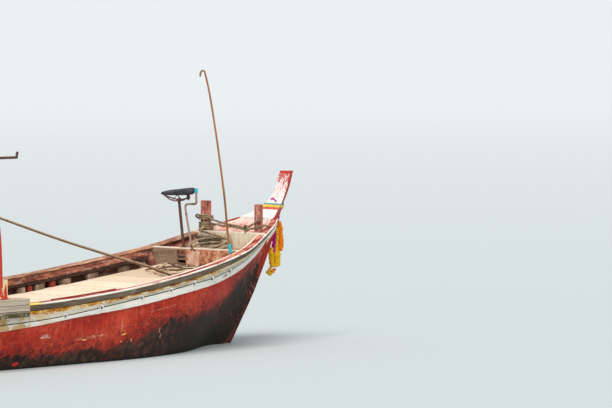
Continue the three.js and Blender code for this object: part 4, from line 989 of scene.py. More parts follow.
def metal(name, colour, roughness, dirt=(0.05, 0.04, 0.03), share=0.5):
    look = Look(name, metallic=0.9)
    grime = look.grain((9, 9, 9), 6, 0.7, 0.2)
    fine = look.grain((120, 120, 120), 3, 0.6)
    shade = look.ramp(fine, (0.3, shaded(colour, 0.8)), (0.7, colour))
    shade = look.stains(shade, (grime, 0.48, 0.66, share, dirt))
    return look.done(
        shade, look.greys(grime, (0.3, roughness), (0.7, min(roughness + 0.3, 1))), fine, 0.0006, 0.4
    )


def canvas():
    look = Look("canvas", sheen=0.2)
    weave = look.node(
        "ShaderNodeTexWave", {"wave_type": "BANDS", "bands_direction": "X"}, Vector=look.places,
        Scale=120.0
    )
    weft = look.node(
        "ShaderNodeTexWave", {"wave_type": "BANDS", "bands_direction": "Y"}, Vector=look.places,
        Scale=120.0
    )
    fade = look.grain((1.6, 2.2, 2.2), 5, 0.6, 0.2)
    streak = look.grain((1.2, 14, 14), 5, 0.65)
    colour = look.ramp(fade, (0.3, (0.045, 0.16, 0.26)), (0.7, (0.10, 0.27, 0.40)))
    colour = look.stains(colour, (streak, 0.55, 0.7, 0.35, (0.24, 0.34, 0.38)))
    seam = look.saw(look.times(look.axis("X"), 1 / CANVAS_PANEL))
    colour = look.stains(colour, (seam, 0.487, 0.497, 0.5, (0.03, 0.09, 0.15)))
    return look.done(colour, 0.75, look.plus(weave.outputs["Fac"], weft.outputs["Fac"]), 0.0006, 0.4)


def cloth(name, light, dark):
    look = Look(name, sheen=0.3)
    weave = look.node(
        "ShaderNodeTexWave", {"wave_type": "BANDS", "bands_direction": "Z"}, Vector=look.places,
        Scale=240.0
    )
    fade = look.grain((18, 18, 18), 5, 0.6, 0.2)
    return look.done(look.ramp(fade, (0.3, dark), (0.7, light)), 0.85, weave.outputs["Fac"], 0.0004, 0.4)


def petal(name, light, dark):
    look = Look(name)
    tone = look.grain((60, 60, 60), 4, 0.6)
    return look.done(look.ramp(tone, (0.3, dark), (0.7, light)), 0.7, tone, 0.001)


LOOKS = {
    "hull": hull_red(),
    "strake": strake_white(),
    "cap": cap_paint(),
    "rail": worn_wood("rail_wood", (0.23, 0.17, 0.11), (0.080, 0.055, 0.036), (0.34, 0.27, 0.19), "X", 0.5),
    "guard": guard_boards(),
    "inner": inner_boards(),
    "frames": worn_wood(
        "frame_wood", (0.34, 0.22, 0.15), (0.060, 0.035, 0.025), (0.48, 0.33, 0.22), "Z", 0.6
    ),
    "deck": deck_cream(),
    "bulkhead": bulkhead_boards(),
    "well": well_boards(),
    "tan": worn_wood("tan_board", (0.62, 0.50, 0.36), (0.33, 0.22, 0.14), (0.46, 0.28, 0.17), "Y", 0.6),
    "post": post_wood(),
    "platform": platform_paint(),
    "raw": worn_wood("raw_board", (0.46, 0.34, 0.22), (0.20, 0.13, 0.08), (0.30, 0.22, 0.14), "X", 0.5),
    "head": head_paint(),
    "stem": stem_red(),
    "cane": cane(),
    "rope": rope_look("rope_fibre", (0.66, 0.49, 0.30), (0.10, 0.060, 0.034)),
    "lashing": rope_look("lashing_fibre", (0.46, 0.34, 0.20), (0.07, 0.045, 0.028), 0.035),
    "tie": rope_look("tie_fibre", (0.62, 0.54, 0.40), (0.36, 0.29, 0.20), 0.03),
    "vinyl": vinyl(),
    "pole": worn_wood("pole_wood", (0.40, 0.16, 0.055), (0.20, 0.07, 0.03), (0.10, 0.05, 0.03), "Z", 0.4),
    "stick": worn_wood(
        "stick_wood", (0.24, 0.13, 0.075), (0.035, 0.018, 0.012), (0.30, 0.16, 0.10), "Y", 0.5
    ),
    "offcut": worn_wood(
        "offcut_wood", (0.80, 0.64, 0.44), (0.40, 0.25, 0.15), (0.30, 0.18, 0.10), "Y", 0.4
    ),
    "worn": worn_wood("worn_board", (0.74, 0.44, 0.30), (0.42, 0.16, 0.10), (0.80, 0.62, 0.46), "Z", 0.8),
    "strip": worn_wood(
        "strip_wood", (0.30, 0.035, 0.022), (0.14, 0.02, 0.015), (0.30, 0.14, 0.09), "X", 0.5
    ),
    "gusset": plain_paint(
        "gusset_paint", (0.86, 0.78, 0.66), (0.80, 0.50, 0.10), (0.50, 0.06, 0.02), 0.6, (14, 14, 14)
    ),
    "rusty": rusty("rusty_pipe", (0.085, 0.050, 0.040), (0.16, 0.055, 0.03)),
    "pale_pipe": rusty("pale_pipe", (0.30, 0.22, 0.17), (0.17, 0.07, 0.04), 0.4),
    "frame_paint": frame_red(),
    "zinc": metal("zinc", (0.52, 0.54, 0.56), 0.42),
    "cast": metal("cast_alloy", (0.42, 0.43, 0.44), 0.5),
    "bronze": metal("bronze", (0.62, 0.42, 0.16), 0.3, (0.10, 0.12, 0.08), 0.5),
    "bolt": metal("bolt_steel", (0.16, 0.15, 0.15), 0.5, (0.10, 0.04, 0.02), 0.6),
    "washer": plain_paint(
        "washer_paint", (0.85, 0.86, 0.86), (0.55, 0.56, 0.55), (0.30, 0.20, 0.12), 0.6, (30, 30, 30)
    ),
    "engine": plain_paint(
        "engine_paint", (0.52, 0.045, 0.022), (0.30, 0.022, 0.014), (0.06, 0.05, 0.045), 0.7, (7, 7, 7),
        0.35
    ),
    "canvas": canvas(),
    "cyan": plain_paint(
        "tape", (0.05, 0.50, 0.60), (0.02, 0.36, 0.46), (0.20, 0.62, 0.68), 0.4, (30, 30, 30), 0.45
    ),
    "marigold": petal("marigold", (0.98, 0.32, 0.006), (0.66, 0.12, 0.003)),
    "yellow": petal("yellow_petal", (1.00, 0.66, 0.015), (0.62, 0.27, 0.003)),
    "magenta": petal("magenta_petal", (0.60, 0.02, 0.30), (0.36, 0.008, 0.18)),
    "cloth_magenta": cloth("cloth_magenta", (0.52, 0.05, 0.30), (0.30, 0.02, 0.17)),
    "cloth_green": cloth("cloth_green", (0.10, 0.34, 0.32), (0.04, 0.19, 0.20)),
    "cloth_yellow": cloth("cloth_yellow", (0.86, 0.60, 0.07), (0.60, 0.38, 0.03)),
    "cloth_red": cloth("cloth_red", (0.72, 0.09, 0.03), (0.45, 0.035, 0.02)),
}


def dress(node, look, bevel=3.0):
    """A CAD node keeps its shape and gets its look, with its sharp edges eased."""
    piece = NODES[node]
    piece.data.materials.clear()
    piece.data.materials.append(LOOKS[look])
    if bevel:
        ease = piece.modifiers.new("ease", "BEVEL")
        ease.width = bevel * MM
        ease.segments = 2
        ease.limit_method = "ANGLE"
        ease.angle_limit = math.radians(40)
    piece.data.shade_smooth()
    piece.data.set_sharp_from_angle(angle=math.radians(32))


# The hull's sides, smooth along the solids' stations
def hull_sides():
    for side, sign in SIDES:
        xs = hull_places(TRANSOM_X + 0.4, PLANK_BOW_X)
        ts = [1 - (1 - i / 26) ** 1.15 for i in range(27)]
        rings, drops, inside = [], [], []
        for x in xs:
            controls = section(x)
            lengths = arc(controls)
            outer = [skin(controls, t) for t in ts]
            inner = [skin(controls, t, -PLANK) for t in reversed(ts)]
            rings.append([(x, sign * p.x, p.y) for p in outer + inner])
            fall = [drop_at(lengths, t) * MM for t in ts]
            drops += fall + fall[::-1]
            inside += [0.0] * len(ts) + [1.0] * len(ts)
        mesh = loft(rings, {"drop": drops, "inside": inside}, 50)
        add_object(f"{side}_hull_side", mesh, "hull", [f"{side}_planking"])


# Places along the hull with the drops of the strake's lower edge, and of the groove between its boards
STRAKE_LOW = [
    (-700, 216), (500, 150), (1900, 150), (2270, 164), (2650, 186), (2950, 203), (3280, 217), (3778, 217)
]
STRAKE_GROOVE = [
    (-700, 150), (0, 132), (350, 120), (800, 99), (1330, 86), (2050, 88), (2330, 103), (2900, 112),
    (3735, 100)
]


def between(table, x):
    """Straight lines through a table of places and values."""
    for (x0, v0), (x1, v1) in zip(table, table[1:]):
        if x < x1:
            return v0 + (v1 - v0) * max(x - x0, 0) / (x1 - x0)
    return table[-1][1]


def side_board(name, node, x1, profile_at, look, sign):
    """A board on the topside; its profile at x lists drops below the sheer, distances out and shares."""
    rings, across = [], []
    for x in [TRANSOM_X - TRANSOM_THICK, *hull_places(TRANSOM_X + 2, x1, 90)]:
        controls = section(x)
        lengths = arc(controls)
        ring = []
        for drop, out, share in profile_at(x):
            p = skin(controls, at_drop(lengths, drop), out)
            ring.append((x, sign * p.x, p.y))
            across.append(share)
        rings.append(ring)
    add_object(name, loft(rings, {"across": across}), look, [node])


def strake_profile(x):
    top, low, groove, t = RAIL_HEIGHT + 2, between(STRAKE_LOW, x), between(STRAKE_GROOVE, x), STRAKE_THICK
    return [
        (top, t - 3, 0), (top + 3, t, 0.03), (0.5 * (top + groove), t, 0.25), (groove - 4, t, 0.46), (
            groove - 2, t - 9, 0.49
        ),
        (groove + 2, t - 9, 0.5), (groove + 4, t - 1, 0.53), (0.5 * (low + groove), t, 0.75), (
            low - 4, t - 1, 0.97
        ),
        (low, t - 5, 1), (low, 0.4, 1), (top, 0.4, 0),
    ]


def rail_profile(_x):
    r, high = RAIL_THICK, RAIL_HEIGHT - 1
    outline = [(1, r - 6), (3, r - 2), (8, r), (34, r), (40, r - 3), (high, r - 9), (high, 0.4), (1, 0.4)]
    return [(drop, out, drop / high) for drop, out in outline]


def topsides():
    for side, sign in SIDES:
        side_board(
            f"{side}_strake_board", f"{side}_sheer_strake", STRAKE_BOW_X, strake_profile, "strake",
            sign
        )
        side_board(
            f"{side}_rail_board", f"{side}_rub_rail", PLANK_BOW_X, rail_profile, "rail", sign
        )


def cap_rails():
    for side, sign in SIDES:
        rings, across = [], []
        for x in [TRANSOM_X - TRANSOM_THICK, *hull_places(TRANSOM_X + 2, CAP_BOW_X)]:
            inner, outer = max(cap_y(x) - CAP_WIDTH, 12), cap_y(x)
            high, low = cap_z(x), cap_z(x) - CAP_THICK
            r = min(5, (outer - inner) / 4)
            profile = [
                (inner, low + r), (inner, high - r), (inner + r, high), (
                    inner + 0.3 * (outer - inner), high
                ),
                (inner + 0.7 * (outer - inner), high), (outer - r, high), (outer, high - r), (outer, low + r),
                (outer - r, low), (inner + r, low),
            ]
            rings.append([(x, sign * y, z) for y, z in profile])
            across += [(y - inner) / (outer - inner) for y, _ in profile]
        name = f"{side}_cap_board"
        add_object(name, loft(rings, {"across": across}), "cap", [f"{side}_cap_rail"])


# The side guards' ends, their reach above and below the cap, and their thickness
GUARD_X = (-900, -140)
GUARD_ABOVE, GUARD_BELOW, GUARD_THICK = 50, 100, 44


def side_guards():
    """Three boards over each cap's edge, with open seams between them."""
    seams = (0.31, 0.655)
    for side, sign in SIDES:
        rings, levels = [], []
        for x in spread(*GUARD_X, 24):
            edge, top, low = cap_y(x), cap_z(x) + GUARD_ABOVE, cap_z(x) - GUARD_BELOW
            face, height = edge + GUARD_THICK, GUARD_ABOVE + GUARD_BELOW
            profile = [(edge - 3, cap_z(x) - 2), (edge - 3, low), (face - 4, low), (face, low + 4)]
            for i, seam in enumerate(seams):
                z = low + seam * height + 1.5 * math.sin(x / 90 + 2 * i)
                profile += [(face - 1.5 * i, z - 3), (face - 9, z), (face - 1.5 * (i + 1), z + 3)]
            profile += [
                (face - 3, top - 4), (face - 7, top), (edge - 94, top), (edge - 98, top - 4),
                (edge - 98, cap_z(x) - 1)
            ]
            rings.append([(x, sign * y, z) for y, z in profile])
            levels += [(z - low) / height for _, z in profile]
        name = f"{side}_guard_boards"
        add_object(name, loft(rings, {"level": levels}), "guard", [f"{side}_side_guard"])


def head_at(z, key):
    i = max(min(sum(1 for row in HEAD if row["z"] <= z) - 1, len(HEAD) - 2), 0)
    a, b = HEAD[i], HEAD[i + 1]
    u = (z - a["z"]) / (b["z"] - a["z"])
    before, after = HEAD[max(i - 1, 0)], HEAD[min(i + 2, len(HEAD) - 1)]
    m0 = (b[key] - before[key]) / max(b["z"] - before["z"], 1)
    m1 = (after[key] - a[key]) / max(after["z"] - a["z"], 1)
    span = b["z"] - a["z"]
    return (
        a[key] * (2 * u**3 - 3 * u * u + 1) + m0 * span * (u**3 - 2 * u * u + u)
        + b[key] * (3 * u * u - 2 * u**3) + m1 * span * (u**3 - u * u)
    )


def prow_head():
    rings, edge, face = [], [], []
    for z in [HEAD_BASE_Z - 24, *spread(HEAD_BASE_Z + 0.5, 1497, 36)]:
        level = max(z, HEAD_BASE_Z)
        aft, half = head_at(level, "aft_x"), head_at(level, "aft_half")
        fore, thin = head_at(level, "fore_x"), head_at(level, "fore_half")
        r = 6 if HEAD_BASE_Z + 6 < z < 1492 else 2
        back = [
            (aft + (r if abs(k) == 1 else 0), k * (half - (0 if abs(k) == 1 else 1))) for k in (
                1, 0.94, 0.8, 0.4, 0, -0.4, -0.8, -0.94, -1
            )
        ]
        front = [(fore - r, -thin), (fore, -thin + r), (fore, thin - r), (fore - r, thin)]
        port_side = [(fore + (aft - fore) * u, thin + (half - thin) * u) for u in (0.35, 0.7)]
        starboard_side = [(x, -y) for x, y in reversed(port_side)]
        rings.append([(x, y, z) for x, y in back + starboard_side + front + port_side])
        edge += [abs(k) for k in (1, 0.94, 0.8, 0.4, 0, -0.4, -0.8, -0.94, -1)] + [1] * 8
        face += [0.0] * 9 + [1.0] * 8
    mesh = loft(rings, {"edge": edge, "face": face}, 45)
    add_object("head_timber", mesh, "head", ["prow_head"])


# Fittings
# The saddle's place and length in millimetres, and its directions
SADDLE_AT = Vector((2868, 227, 1337))
SADDLE_LENGTH = 300
SADDLE_ALONG = Vector((math.cos(math.radians(133)), math.sin(math.radians(133)), 0))
SADDLE_ACROSS = Vector((-SADDLE_ALONG.y, SADDLE_ALONG.x, 0))


def saddle_point(share, out, rise):
    return SADDLE_AT + SADDLE_ALONG * share * SADDLE_LENGTH + SADDLE_ACROSS * out + Vector((0, 0, rise))


def saddle():
    # share of the length from the middle, half width, top and underside
    rows = [
        (0.5, 5, -9, -17), (0.49, 10, -4, -23), (0.45, 16, 2, -28), (0.38, 19, 8, -31), (0.28, 21, 14, -31),
        (0.15, 26, 20, -31), (0.02, 33, 25, -31), (-0.1, 46, 29, -31), (-0.22, 62, 33, -30),
        (-0.33, 72, 36, -28),
        (-0.42, 74, 38, -24), (-0.47, 66, 36, -17), (-0.495, 50, 30, -8), (-0.5, 38, 22, 0),
    ]
    rings = []
    for share, half, top, low in rows:
        middle = low + 0.38 * (top - low)
        ring = []
        for k in range(28):
            a = 2 * math.pi * k / 28
            c, q = math.cos(a), math.sin(a)
            wide = math.copysign(abs(c) ** 0.75, c) * half
            rise = middle + (top - middle) * abs(q) ** 0.8
            if q < 0:
                rise = middle - (middle - low) * abs(q) ** 0.55
            rings_dip = 3.5 * math.exp(-((wide / 12) ** 2)) if q > 0 and share < 0.1 else 0
            ring.append(saddle_point(share, wide, rise - rings_dip))
        rings.append(ring)
    cushion = add_object("saddle_cover", loft(rings, None, 60), "vinyl", ["saddle"])
    ease = cushion.modifiers.new("ease", "SUBSURF")
    ease.levels = ease.render_levels = 1
    springs = []
    for out in (-36, 36):
        turns, count = 5, 60
        path = []
        for i in range(count + 1):
            a = 2 * math.pi * turns * i / count
            base = saddle_point(-0.3, out, -30 - 36 * i / count)
            path.append((base + SADDLE_ALONG * 13 * math.cos(a) + SADDLE_ACROSS * 13 * math.sin(a)) * MM)
        springs.append(tube(path, 0.0026, 8))
    bridge = [
        saddle_point(-0.3, out, rise) * MM for out,
        rise in ((-44, -64), (-30, -70), (0, -72), (30, -70), (44, -64))
    ]
    springs.append(tube(smooth_path(bridge, 20), 0.0045, 10))
    nose = [
        saddle_point(share, 0, rise) * MM for share,
        rise in ((0.4, -30), (0.36, -40), (0.28, -46), (0.2, -50))
    ]
    springs.append(tube(smooth_path(nose, 14), 0.006, 10))
    # the wire basket: a lower rail and two braces on each side of the rails that the CAD gives
    wires = [
        (
            0.0042,
            [
                (0.4, 12, -27), (0.34, 18, -44), (0.24, 26, -66), (0.1, 30, -79), (-0.06, 31, -79),
                (-0.2, 36, -68), (-0.3, 40, -30)
            ]
        ),
        (0.0032, [(0.18, 28, -72), (0.1, 29, -50), (0.03, 28, -28)]),
        (0.0032, [(-0.12, 33, -75), (-0.04, 31, -50), (0.02, 28, -28)]),
    ]
    for side in (-1, 1):
        for radius, line in wires:
            path = [saddle_point(share, side * out, rise) * MM for share, out, rise in line]
            springs.append(tube(smooth_path(path, 30), radius, 8))
    add_object("saddle_springs", springs, "rusty", ())


def bent_pipe():
    x = 2838
    points = [
        (21, 808), (30, 860), (74, 1040), (107, 1190), (108, 1212), (98, 1229), (78, 1234), (36, 1236),
        (-8, 1237),
        (-22, 1243), (-25, 1258), (-25, 1300), (-25, 1345),
    ]
    path = smooth_path([Vector((x, y, z)) * MM for y, z in points], 120)
    add_object("foredeck_pipe", tube(path, 0.0095, 14), "pale_pipe", ["bent_pipe"])
    cap = [Vector((x, -25, z)) * MM for z in spread(1336, 1376, 12)]
    round_end = lambda u: 0.0145 * min(1, 0.72 + 4 * u, 0.6 + 4 * (1 - u))
    add_object("pipe_cap", tube(cap, round_end, 16), "cyan")
    plate = loft(
        [[(px, y, z) for y, z in ((-4, 800), (48, 800), (48, 836), (-4, 836))] for px in (2842, 2851)]
    )
    foot = add_object("pipe_plate", plate, "rusty", ())
    ease = foot.modifiers.new("ease", "BEVEL")
    ease.width, ease.segments = 0.002, 2


def hook_pole():
    x = 2800
    shaft = [
        (-480, 790), (-476, 840), (-443, 1000), (-400, 1330), (-318, 1780), (-230, 2184), (-172, 2378),
        (-158, 2398),
        (-145, 2404), (-128, 2400), (-118, 2388), (-113, 2370), (-112, 2352),
    ]
    path = smooth_path([Vector((x, y, z)) * MM for y, z in shaft], 150)
    slim = lambda u: 0.0098 - 0.0022 * u + 0.0006 * math.exp(-(((u * 7.3) % 1 - 0.5) / 0.03) ** 2)
    add_object("boat_hook", tube(path, slim, 14), "pole", ["hook_pole"])
    low = [p for p in path if 0.823 < p.z < 0.914]
    add_object("pole_tape", tube(low, 0.0135, 16), "cyan")
    foot = [p for p in path if p.z < 0.824]
    add_object("pole_foot", tube(foot, 0.0125, 16), "vinyl")


def bamboo():
    points = [
        (2262, -628, deck_z(2262) + 14), (2002, -597, 664), (1558, -645, 781), (1145, -692, 875),
        (492, -766, 1034),
        (-194, -845, 1219), (-720, -905, 1365),
    ]
    path = route(points, 360)
    total = sum((b - a).length for a, b in zip(path, path[1:]))

    def girth(u):
        joint = abs((u * total / CANE_JOINT) % 1 - 0.5)
        return 0.0126 - 0.0030 * u + 0.0016 * math.exp(-((joint / 0.02) ** 2))

    add_object("bamboo_cane", tube(path, girth, 14), "cane", ["bamboo_pole"])


# Rope work
# The rope coil's centre, the half sizes and the tilt of its loops
COIL_CENTRE = Vector((3074, 44, 826))
COIL_LONG, COIL_WIDE, COIL_TILT = 150, 222, 14
ROPE_DIAMETER = 0.02


def coil_place(angle, share, level):
    """A point of the coil; the loops fan out where they lean on the well's bulkhead."""
    tilt = math.radians(COIL_TILT)
    fore, up = Vector((math.cos(tilt), 0, math.sin(tilt))), Vector((-math.sin(tilt), 0, math.cos(tilt)))
    lump = 1 + 0.020 * math.sin(3 * angle + 0.4) + 0.014 * math.sin(5 * angle + 2)
    fan = 1 + 0.42 * (1 + math.cos(angle))
    flat = fore * math.cos(angle) * COIL_LONG * share * lump + Vector(
        (0, math.sin(angle) * COIL_WIDE * share * lump, 0)
    )
    return COIL_CENTRE + flat + up * level * fan


def rope_coil():
    """A flat spiral of two turns inside, then loose turns on top of each other."""
    points, angle = [], 2.2
    for i in range(2 * 60):
        points.append(coil_place(angle, 0.60 + 0.30 * i / 120, 0))
        angle += 2 * math.pi / 60
    turns = 2.5
    for i in range(int(turns * 60) + 1):
        share = 0.90 + min(i / 60, 1) * 0.04 + 0.075 * math.sin(0.82 * angle)
        points.append(coil_place(angle, share, 21.5 * i / 60))
        angle += 2 * math.pi / 60
    return points


def mooring_rope():
    # from the port post's turns, over the bulkhead's top edge and down into the coil
    lead = [(3279, 316, 1020), (3264, 312, 1007), (3240, 300, 996), (3214, 284, 980)]
    coil = rope_coil()[::-1]
    whole = smooth_path(lead + coil[:1], 24)[:-1] + coil
    path = [Vector(p) * MM for p in whole]
    piece = add_object("mooring_rope", tube(path, ROPE_DIAMETER / 2, 10), "rope", ())
    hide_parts("rope_coil")


def wrap(x0, x1, y0, y1, z0, z1, turns, out, sway=0.0):
    """A path round an upright post; it rises from z0 to z1 and keeps `out` off the faces."""
    corners = [(x0 - out, y0 - out), (x1 + out, y0 - out), (x1 + out, y1 + out), (x0 - out, y1 + out)]
    points = []
    for k in range(int(4 * turns)):
        ax, ay = corners[k % 4]
        bx, by = corners[(k + 1) % 4]
        for u in (0.08, 0.5, 0.92):
            share = (k + u) / (4 * turns)
            puff = sway * math.sin(9 * share + k) * (1 if u == 0.5 else 0.3)
            dx, dy = (0, puff) if abs(bx - ax) > abs(by - ay) else (
                -abs(puff) if ax < (x0 + x1) / 2 else abs(puff), 0
            )
            points.append((ax + (bx - ax) * u + dx, ay + (by - ay) * u + dy, z0 + (z1 - z0) * share))
    return points


def lashing():
    r = 0.0085
    parts = []

    def rope(points, count):
        parts.append(tube(route(points, count), r, 10))

    rope(wrap(3288, 3328, 269, 360, 990, 1052, 4, 9, 4), 190)
    rope(wrap(3288, 3328, 269, 360, 1070, 1118, 3, 12, 7), 150)
    # loose loop on the port side of the post
    rope(
        [
            (3276, 352, 1112), (3268, 385, 1120), (3280, 408, 1104), (3310, 404, 1086), (3340, 380, 1078),
            (3342, 330, 1074)
        ],
        40
    )
    # two ropes from the post to the knot and on to the other side
    rope([(3277, 275, 1106), (3275, 205, 1082), (3272, 60, 1052), (3272, -120, 1030), (3272, -200, 1020),
          (3275, -262, 1040),
          (3275, -330, 1073), (3276, -380, 1098), (3284, -404, 1110)], 90)
    rope([(3277, 290, 1040), (3276, 215, 1046), (3271, 90, 1032), (3270, -60, 1024), (3270, -190, 1006),
          (3274, -250, 1010),
          (3277, -340, 1026), (3300, -392, 1042), (3360, -392, 1040), (3420, -350, 1032)], 100)
    # knot
    centre = Vector((3270, -216, 1016))
    for k in range(3):
        loop = []
        for i in range(9):
            a = 2 * math.pi * i / 8
            loop.append(
                centre + Vector((10 * math.sin(a + k), 24 * math.cos(a), 20 * math.sin(a))) + Vector(
                    (0, 6 * k - 6, 4 * k - 4)
                )
            )
        rope(loop, 26)
    rope(
        [centre + Vector((-4, 0, -10)), centre + Vector((-14, -8, -34)), centre + Vector((-10, 4, -60))],
        12
    )
    add_object("bow_lashing", parts, "lashing", ())
    # light tie round the coil
    tie = []
    for i in range(24):
        a = 2 * math.pi * i / 24
        share, level = 0.94 + 0.15 * math.cos(a), 38 + 46 * math.sin(a)
        tie.append(coil_place(-1.05, share, level) * MM)
    add_object("coil_tie", tube(tie, 0.005, 8, closed=True), "tie", ())


# Cloth and flowers
def head_outline(z, out, count=96):
    """Evenly spaced points round the prow head at z, `out` off its faces, in millimetres."""
    aft, half = head_at(z, "aft_x"), head_at(z, "aft_half")
    fore, thin = head_at(z, "fore_x"), head_at(z, "fore_half")
    corners = [
        (aft - out, half + out), (aft - out, -half - out), (fore + out, -thin - out),
        (fore + out, thin + out)
    ]
    edges = list(zip(corners, corners[1:] + corners[:1]))
    lengths = [math.dist(a, b) for a, b in edges]
    total = sum(lengths)
    points = []
    for i in range(count):
        goal = total * i / count
        for (a, b), length in zip(edges, lengths):
            if goal <= length:
                u = goal / length
                points.append((a[0] + (b[0] - a[0]) * u, a[1] + (b[1] - a[1]) * u))
                break
            goal -= length
    return points


def cloth_band(name, look, z0, z1, out, folds, lift):
    """A strip tied round the prow head, with small gathers."""
    count, rows = 192, 7
    vertices, faces = [], []
    for r in range(rows):
        v = r / (rows - 1)
        for i in range(count):
            a = 2 * math.pi * i / count
            gather = 1.3 * math.sin(folds * a + 2.1 * v) + 0.9 * math.sin((folds * 2 + 3) * a + 1.1 + v)
            tilt = lift * math.sin(a + 0.6)
            z = z0 + (z1 - z0) * v + tilt + 0.8 * math.sin(9 * a + 4 * v)
            points = head_outline(z, out + gather + 1.6 * math.sin(math.pi * v), count)
            x, y = points[i]
            vertices.append((x * MM, y * MM, z * MM))
    for r in range(rows - 1):
        for i in range(count):
            j = (i + 1) % count
            faces.append((r * count + i, r * count + j, (r + 1) * count + j, (r + 1) * count + i))
    mesh = bpy.data.meshes.new(name)
    mesh.from_pydata(vertices, [], faces)
    mesh.shade_smooth()
    piece = add_object(name, mesh, look, ())
    return piece


def prow_cloths():
    first = cloth_band("prow_cloth_green", "cloth_green", 1195, 1212, 3.0, 19, 2)
    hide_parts("prow_cloth")
    cloth_band("prow_cloth_yellow", "cloth_yellow", 1177, 1199, 5.0, 15, 3)
    cloth_band("prow_cloth_red", "cloth_red", 1160, 1180, 3.0, 17, 3)
    # scrap tucked over the band on the aft face
    count, rows = 40, 6
    vertices, faces = [], []
    for r in range(rows):
        for i in range(count + 1):
            u, v = i / count, r / (rows - 1)
            y = 56 - 92 * u
            z = 1248 + 9 * math.sin(5 * u) - 16 * (v - 0.5) * (1.1 - 0.5 * u) - 8 * u
            x = head_at(z, "aft_x") - 4 - 2.5 * math.sin(14 * u + 3 * v) - 5 * math.sin(math.pi * u)
            vertices.append((x * MM, y * MM, z * MM))
    for r in range(rows - 1):
        for i in range(count):
            k = r * (count + 1) + i
            faces.append((k, k + 1, k + count + 2, k + count + 1))
    mesh = bpy.data.meshes.new("prow_cloth_scrap")
    mesh.from_pydata(vertices, [], faces)
    mesh.shade_smooth()
    scrap = add_object("prow_cloth_scrap", mesh, "cloth_magenta", ())


def blossoms(name, places, look, seed):
    """Round flower heads with ruffled petals, as one mesh; a place is a centre in mm and a radius."""
    chance = random.Random(seed)
    work = bmesh.new()
    for centre, radius in places:
        made = bmesh.ops.create_icosphere(work, subdivisions=3, radius=1)
        turn = chance.uniform(0, 6)
        for vertex in made["verts"]:
            n = vertex.co.normalized()
            ruffle = noise.noise(n * 5 + Vector((turn, centre[2] * 0.1, 0)))
            petal = abs(math.sin(6 * math.atan2(n.y, n.x) + turn)) * (1 - abs(n.z))
            size = radius * (0.86 + 0.28 * ruffle + 0.12 * petal)
            vertex.co = (Vector(centre) + Vector((n.x * size, n.y * size, n.z * size * 0.8))) * MM
    mesh = bpy.data.meshes.new(name)
    work.to_mesh(mesh)
    work.free()
    mesh.shade_smooth()
    return add_object(name, mesh, look, ())


def strand(path, count, radius, seed, spread_out=3.0):
    chance = random.Random(seed)
    places = []
    for p in smooth_path([Vector((x, y, z)) for x, y, z in path], count - 1):
        shift = Vector([chance.uniform(-spread_out, spread_out) for _ in range(3)])
        places.append((p + shift, radius * chance.uniform(0.9, 1.08)))
    return places


def garlands():
    orange = strand([(3908, -6, 1034), (3922, -8, 953), (3930, -8, 873), (3924, -6, 800)], 15, 29, 1)
    orange += [((3824, -8, 606), 22), ((3848, -6, 622), 18)]
    yellow = strand([(3874, 8, 1020), (3877, 8, 875), (3880, 4, 790)], 26, 12, 4, 1.5)
    yellow += strand([(3890, -4, 985), (3886, -6, 905), (3872, -8, 838)], 9, 17, 8)
    yellow += strand([(3864, -8, 838), (3868, -8, 750), (3872, -8, 662)], 9, 27, 5)
    yellow += strand([(3812, -4, 806), (3810, -6, 730), (3824, -4, 664)], 8, 25, 6)
    yellow += strand([(3840, 8, 790), (3842, 8, 730), (3850, 6, 660)], 7, 24, 15)
    yellow += strand([(3900, 6, 815), (3906, 4, 735), (3898, -4, 668)], 8, 27, 2)
    yellow += [
        ((3772, -4, 600), 22), ((3794, -8, 586), 23), ((3802, 6, 622), 19), ((3820, 6, 642), 15),
        ((3838, 0, 654), 14)
    ]
    pink = strand([(3852, -8, 950), (3842, -8, 860), (3832, -8, 782)], 11, 20, 7)
    first = blossoms("garland_marigold", orange, "marigold", 11)
    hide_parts("garland")
    blossoms("garland_yellow", yellow, "yellow", 12)
    blossoms("garland_pink", pink, "magenta", 13)
    strings = []
    for path in (
        [(3894, -2, 1075), (3906, -6, 1040), (3922, -8, 953), (3930, -8, 860), (3905, 0, 700)],
        [(3894, 2, 1075), (3880, 8, 1020), (3877, 8, 875), (3868, -6, 690), (3850, -6, 620)],
        [
            (3890, 0, 1075), (3866, -8, 980), (3850, -8, 925), (3828, -6, 772), (3806, -4, 700),
            (3790, -6, 590)
        ],
    ):
        strings.append(tube(route(path, 60), 0.0016, 6))
    add_object("garland_strings", strings, "tie", ())


# Canopy
# Half width, heights of the eave, the crown and the skirt, the cloth's ends, and the pipes' radius
CANOPY_HALF, CANOPY_EAVE, CANOPY_CROWN, CANOPY_SKIRT = 900, 1740, 1930, 1660
CANOPY_X = (-2780, -450)
CANOPY_POST = 22
# Name, x of the feet, how far the top leans aft or forward, and the feet's height over the cap
CANOPY_FRAMES = [
    ("front", -383, -190, 50),
    ("middle", -1560, 0, 0),
    ("rear", -2700, 0, 0),
]
FRAME_TOPS = (-2700, -1560, -573)


def arch_z(y):
    return CANOPY_EAVE + (CANOPY_CROWN - CANOPY_EAVE) * (1 - (y / CANOPY_HALF) ** 2)


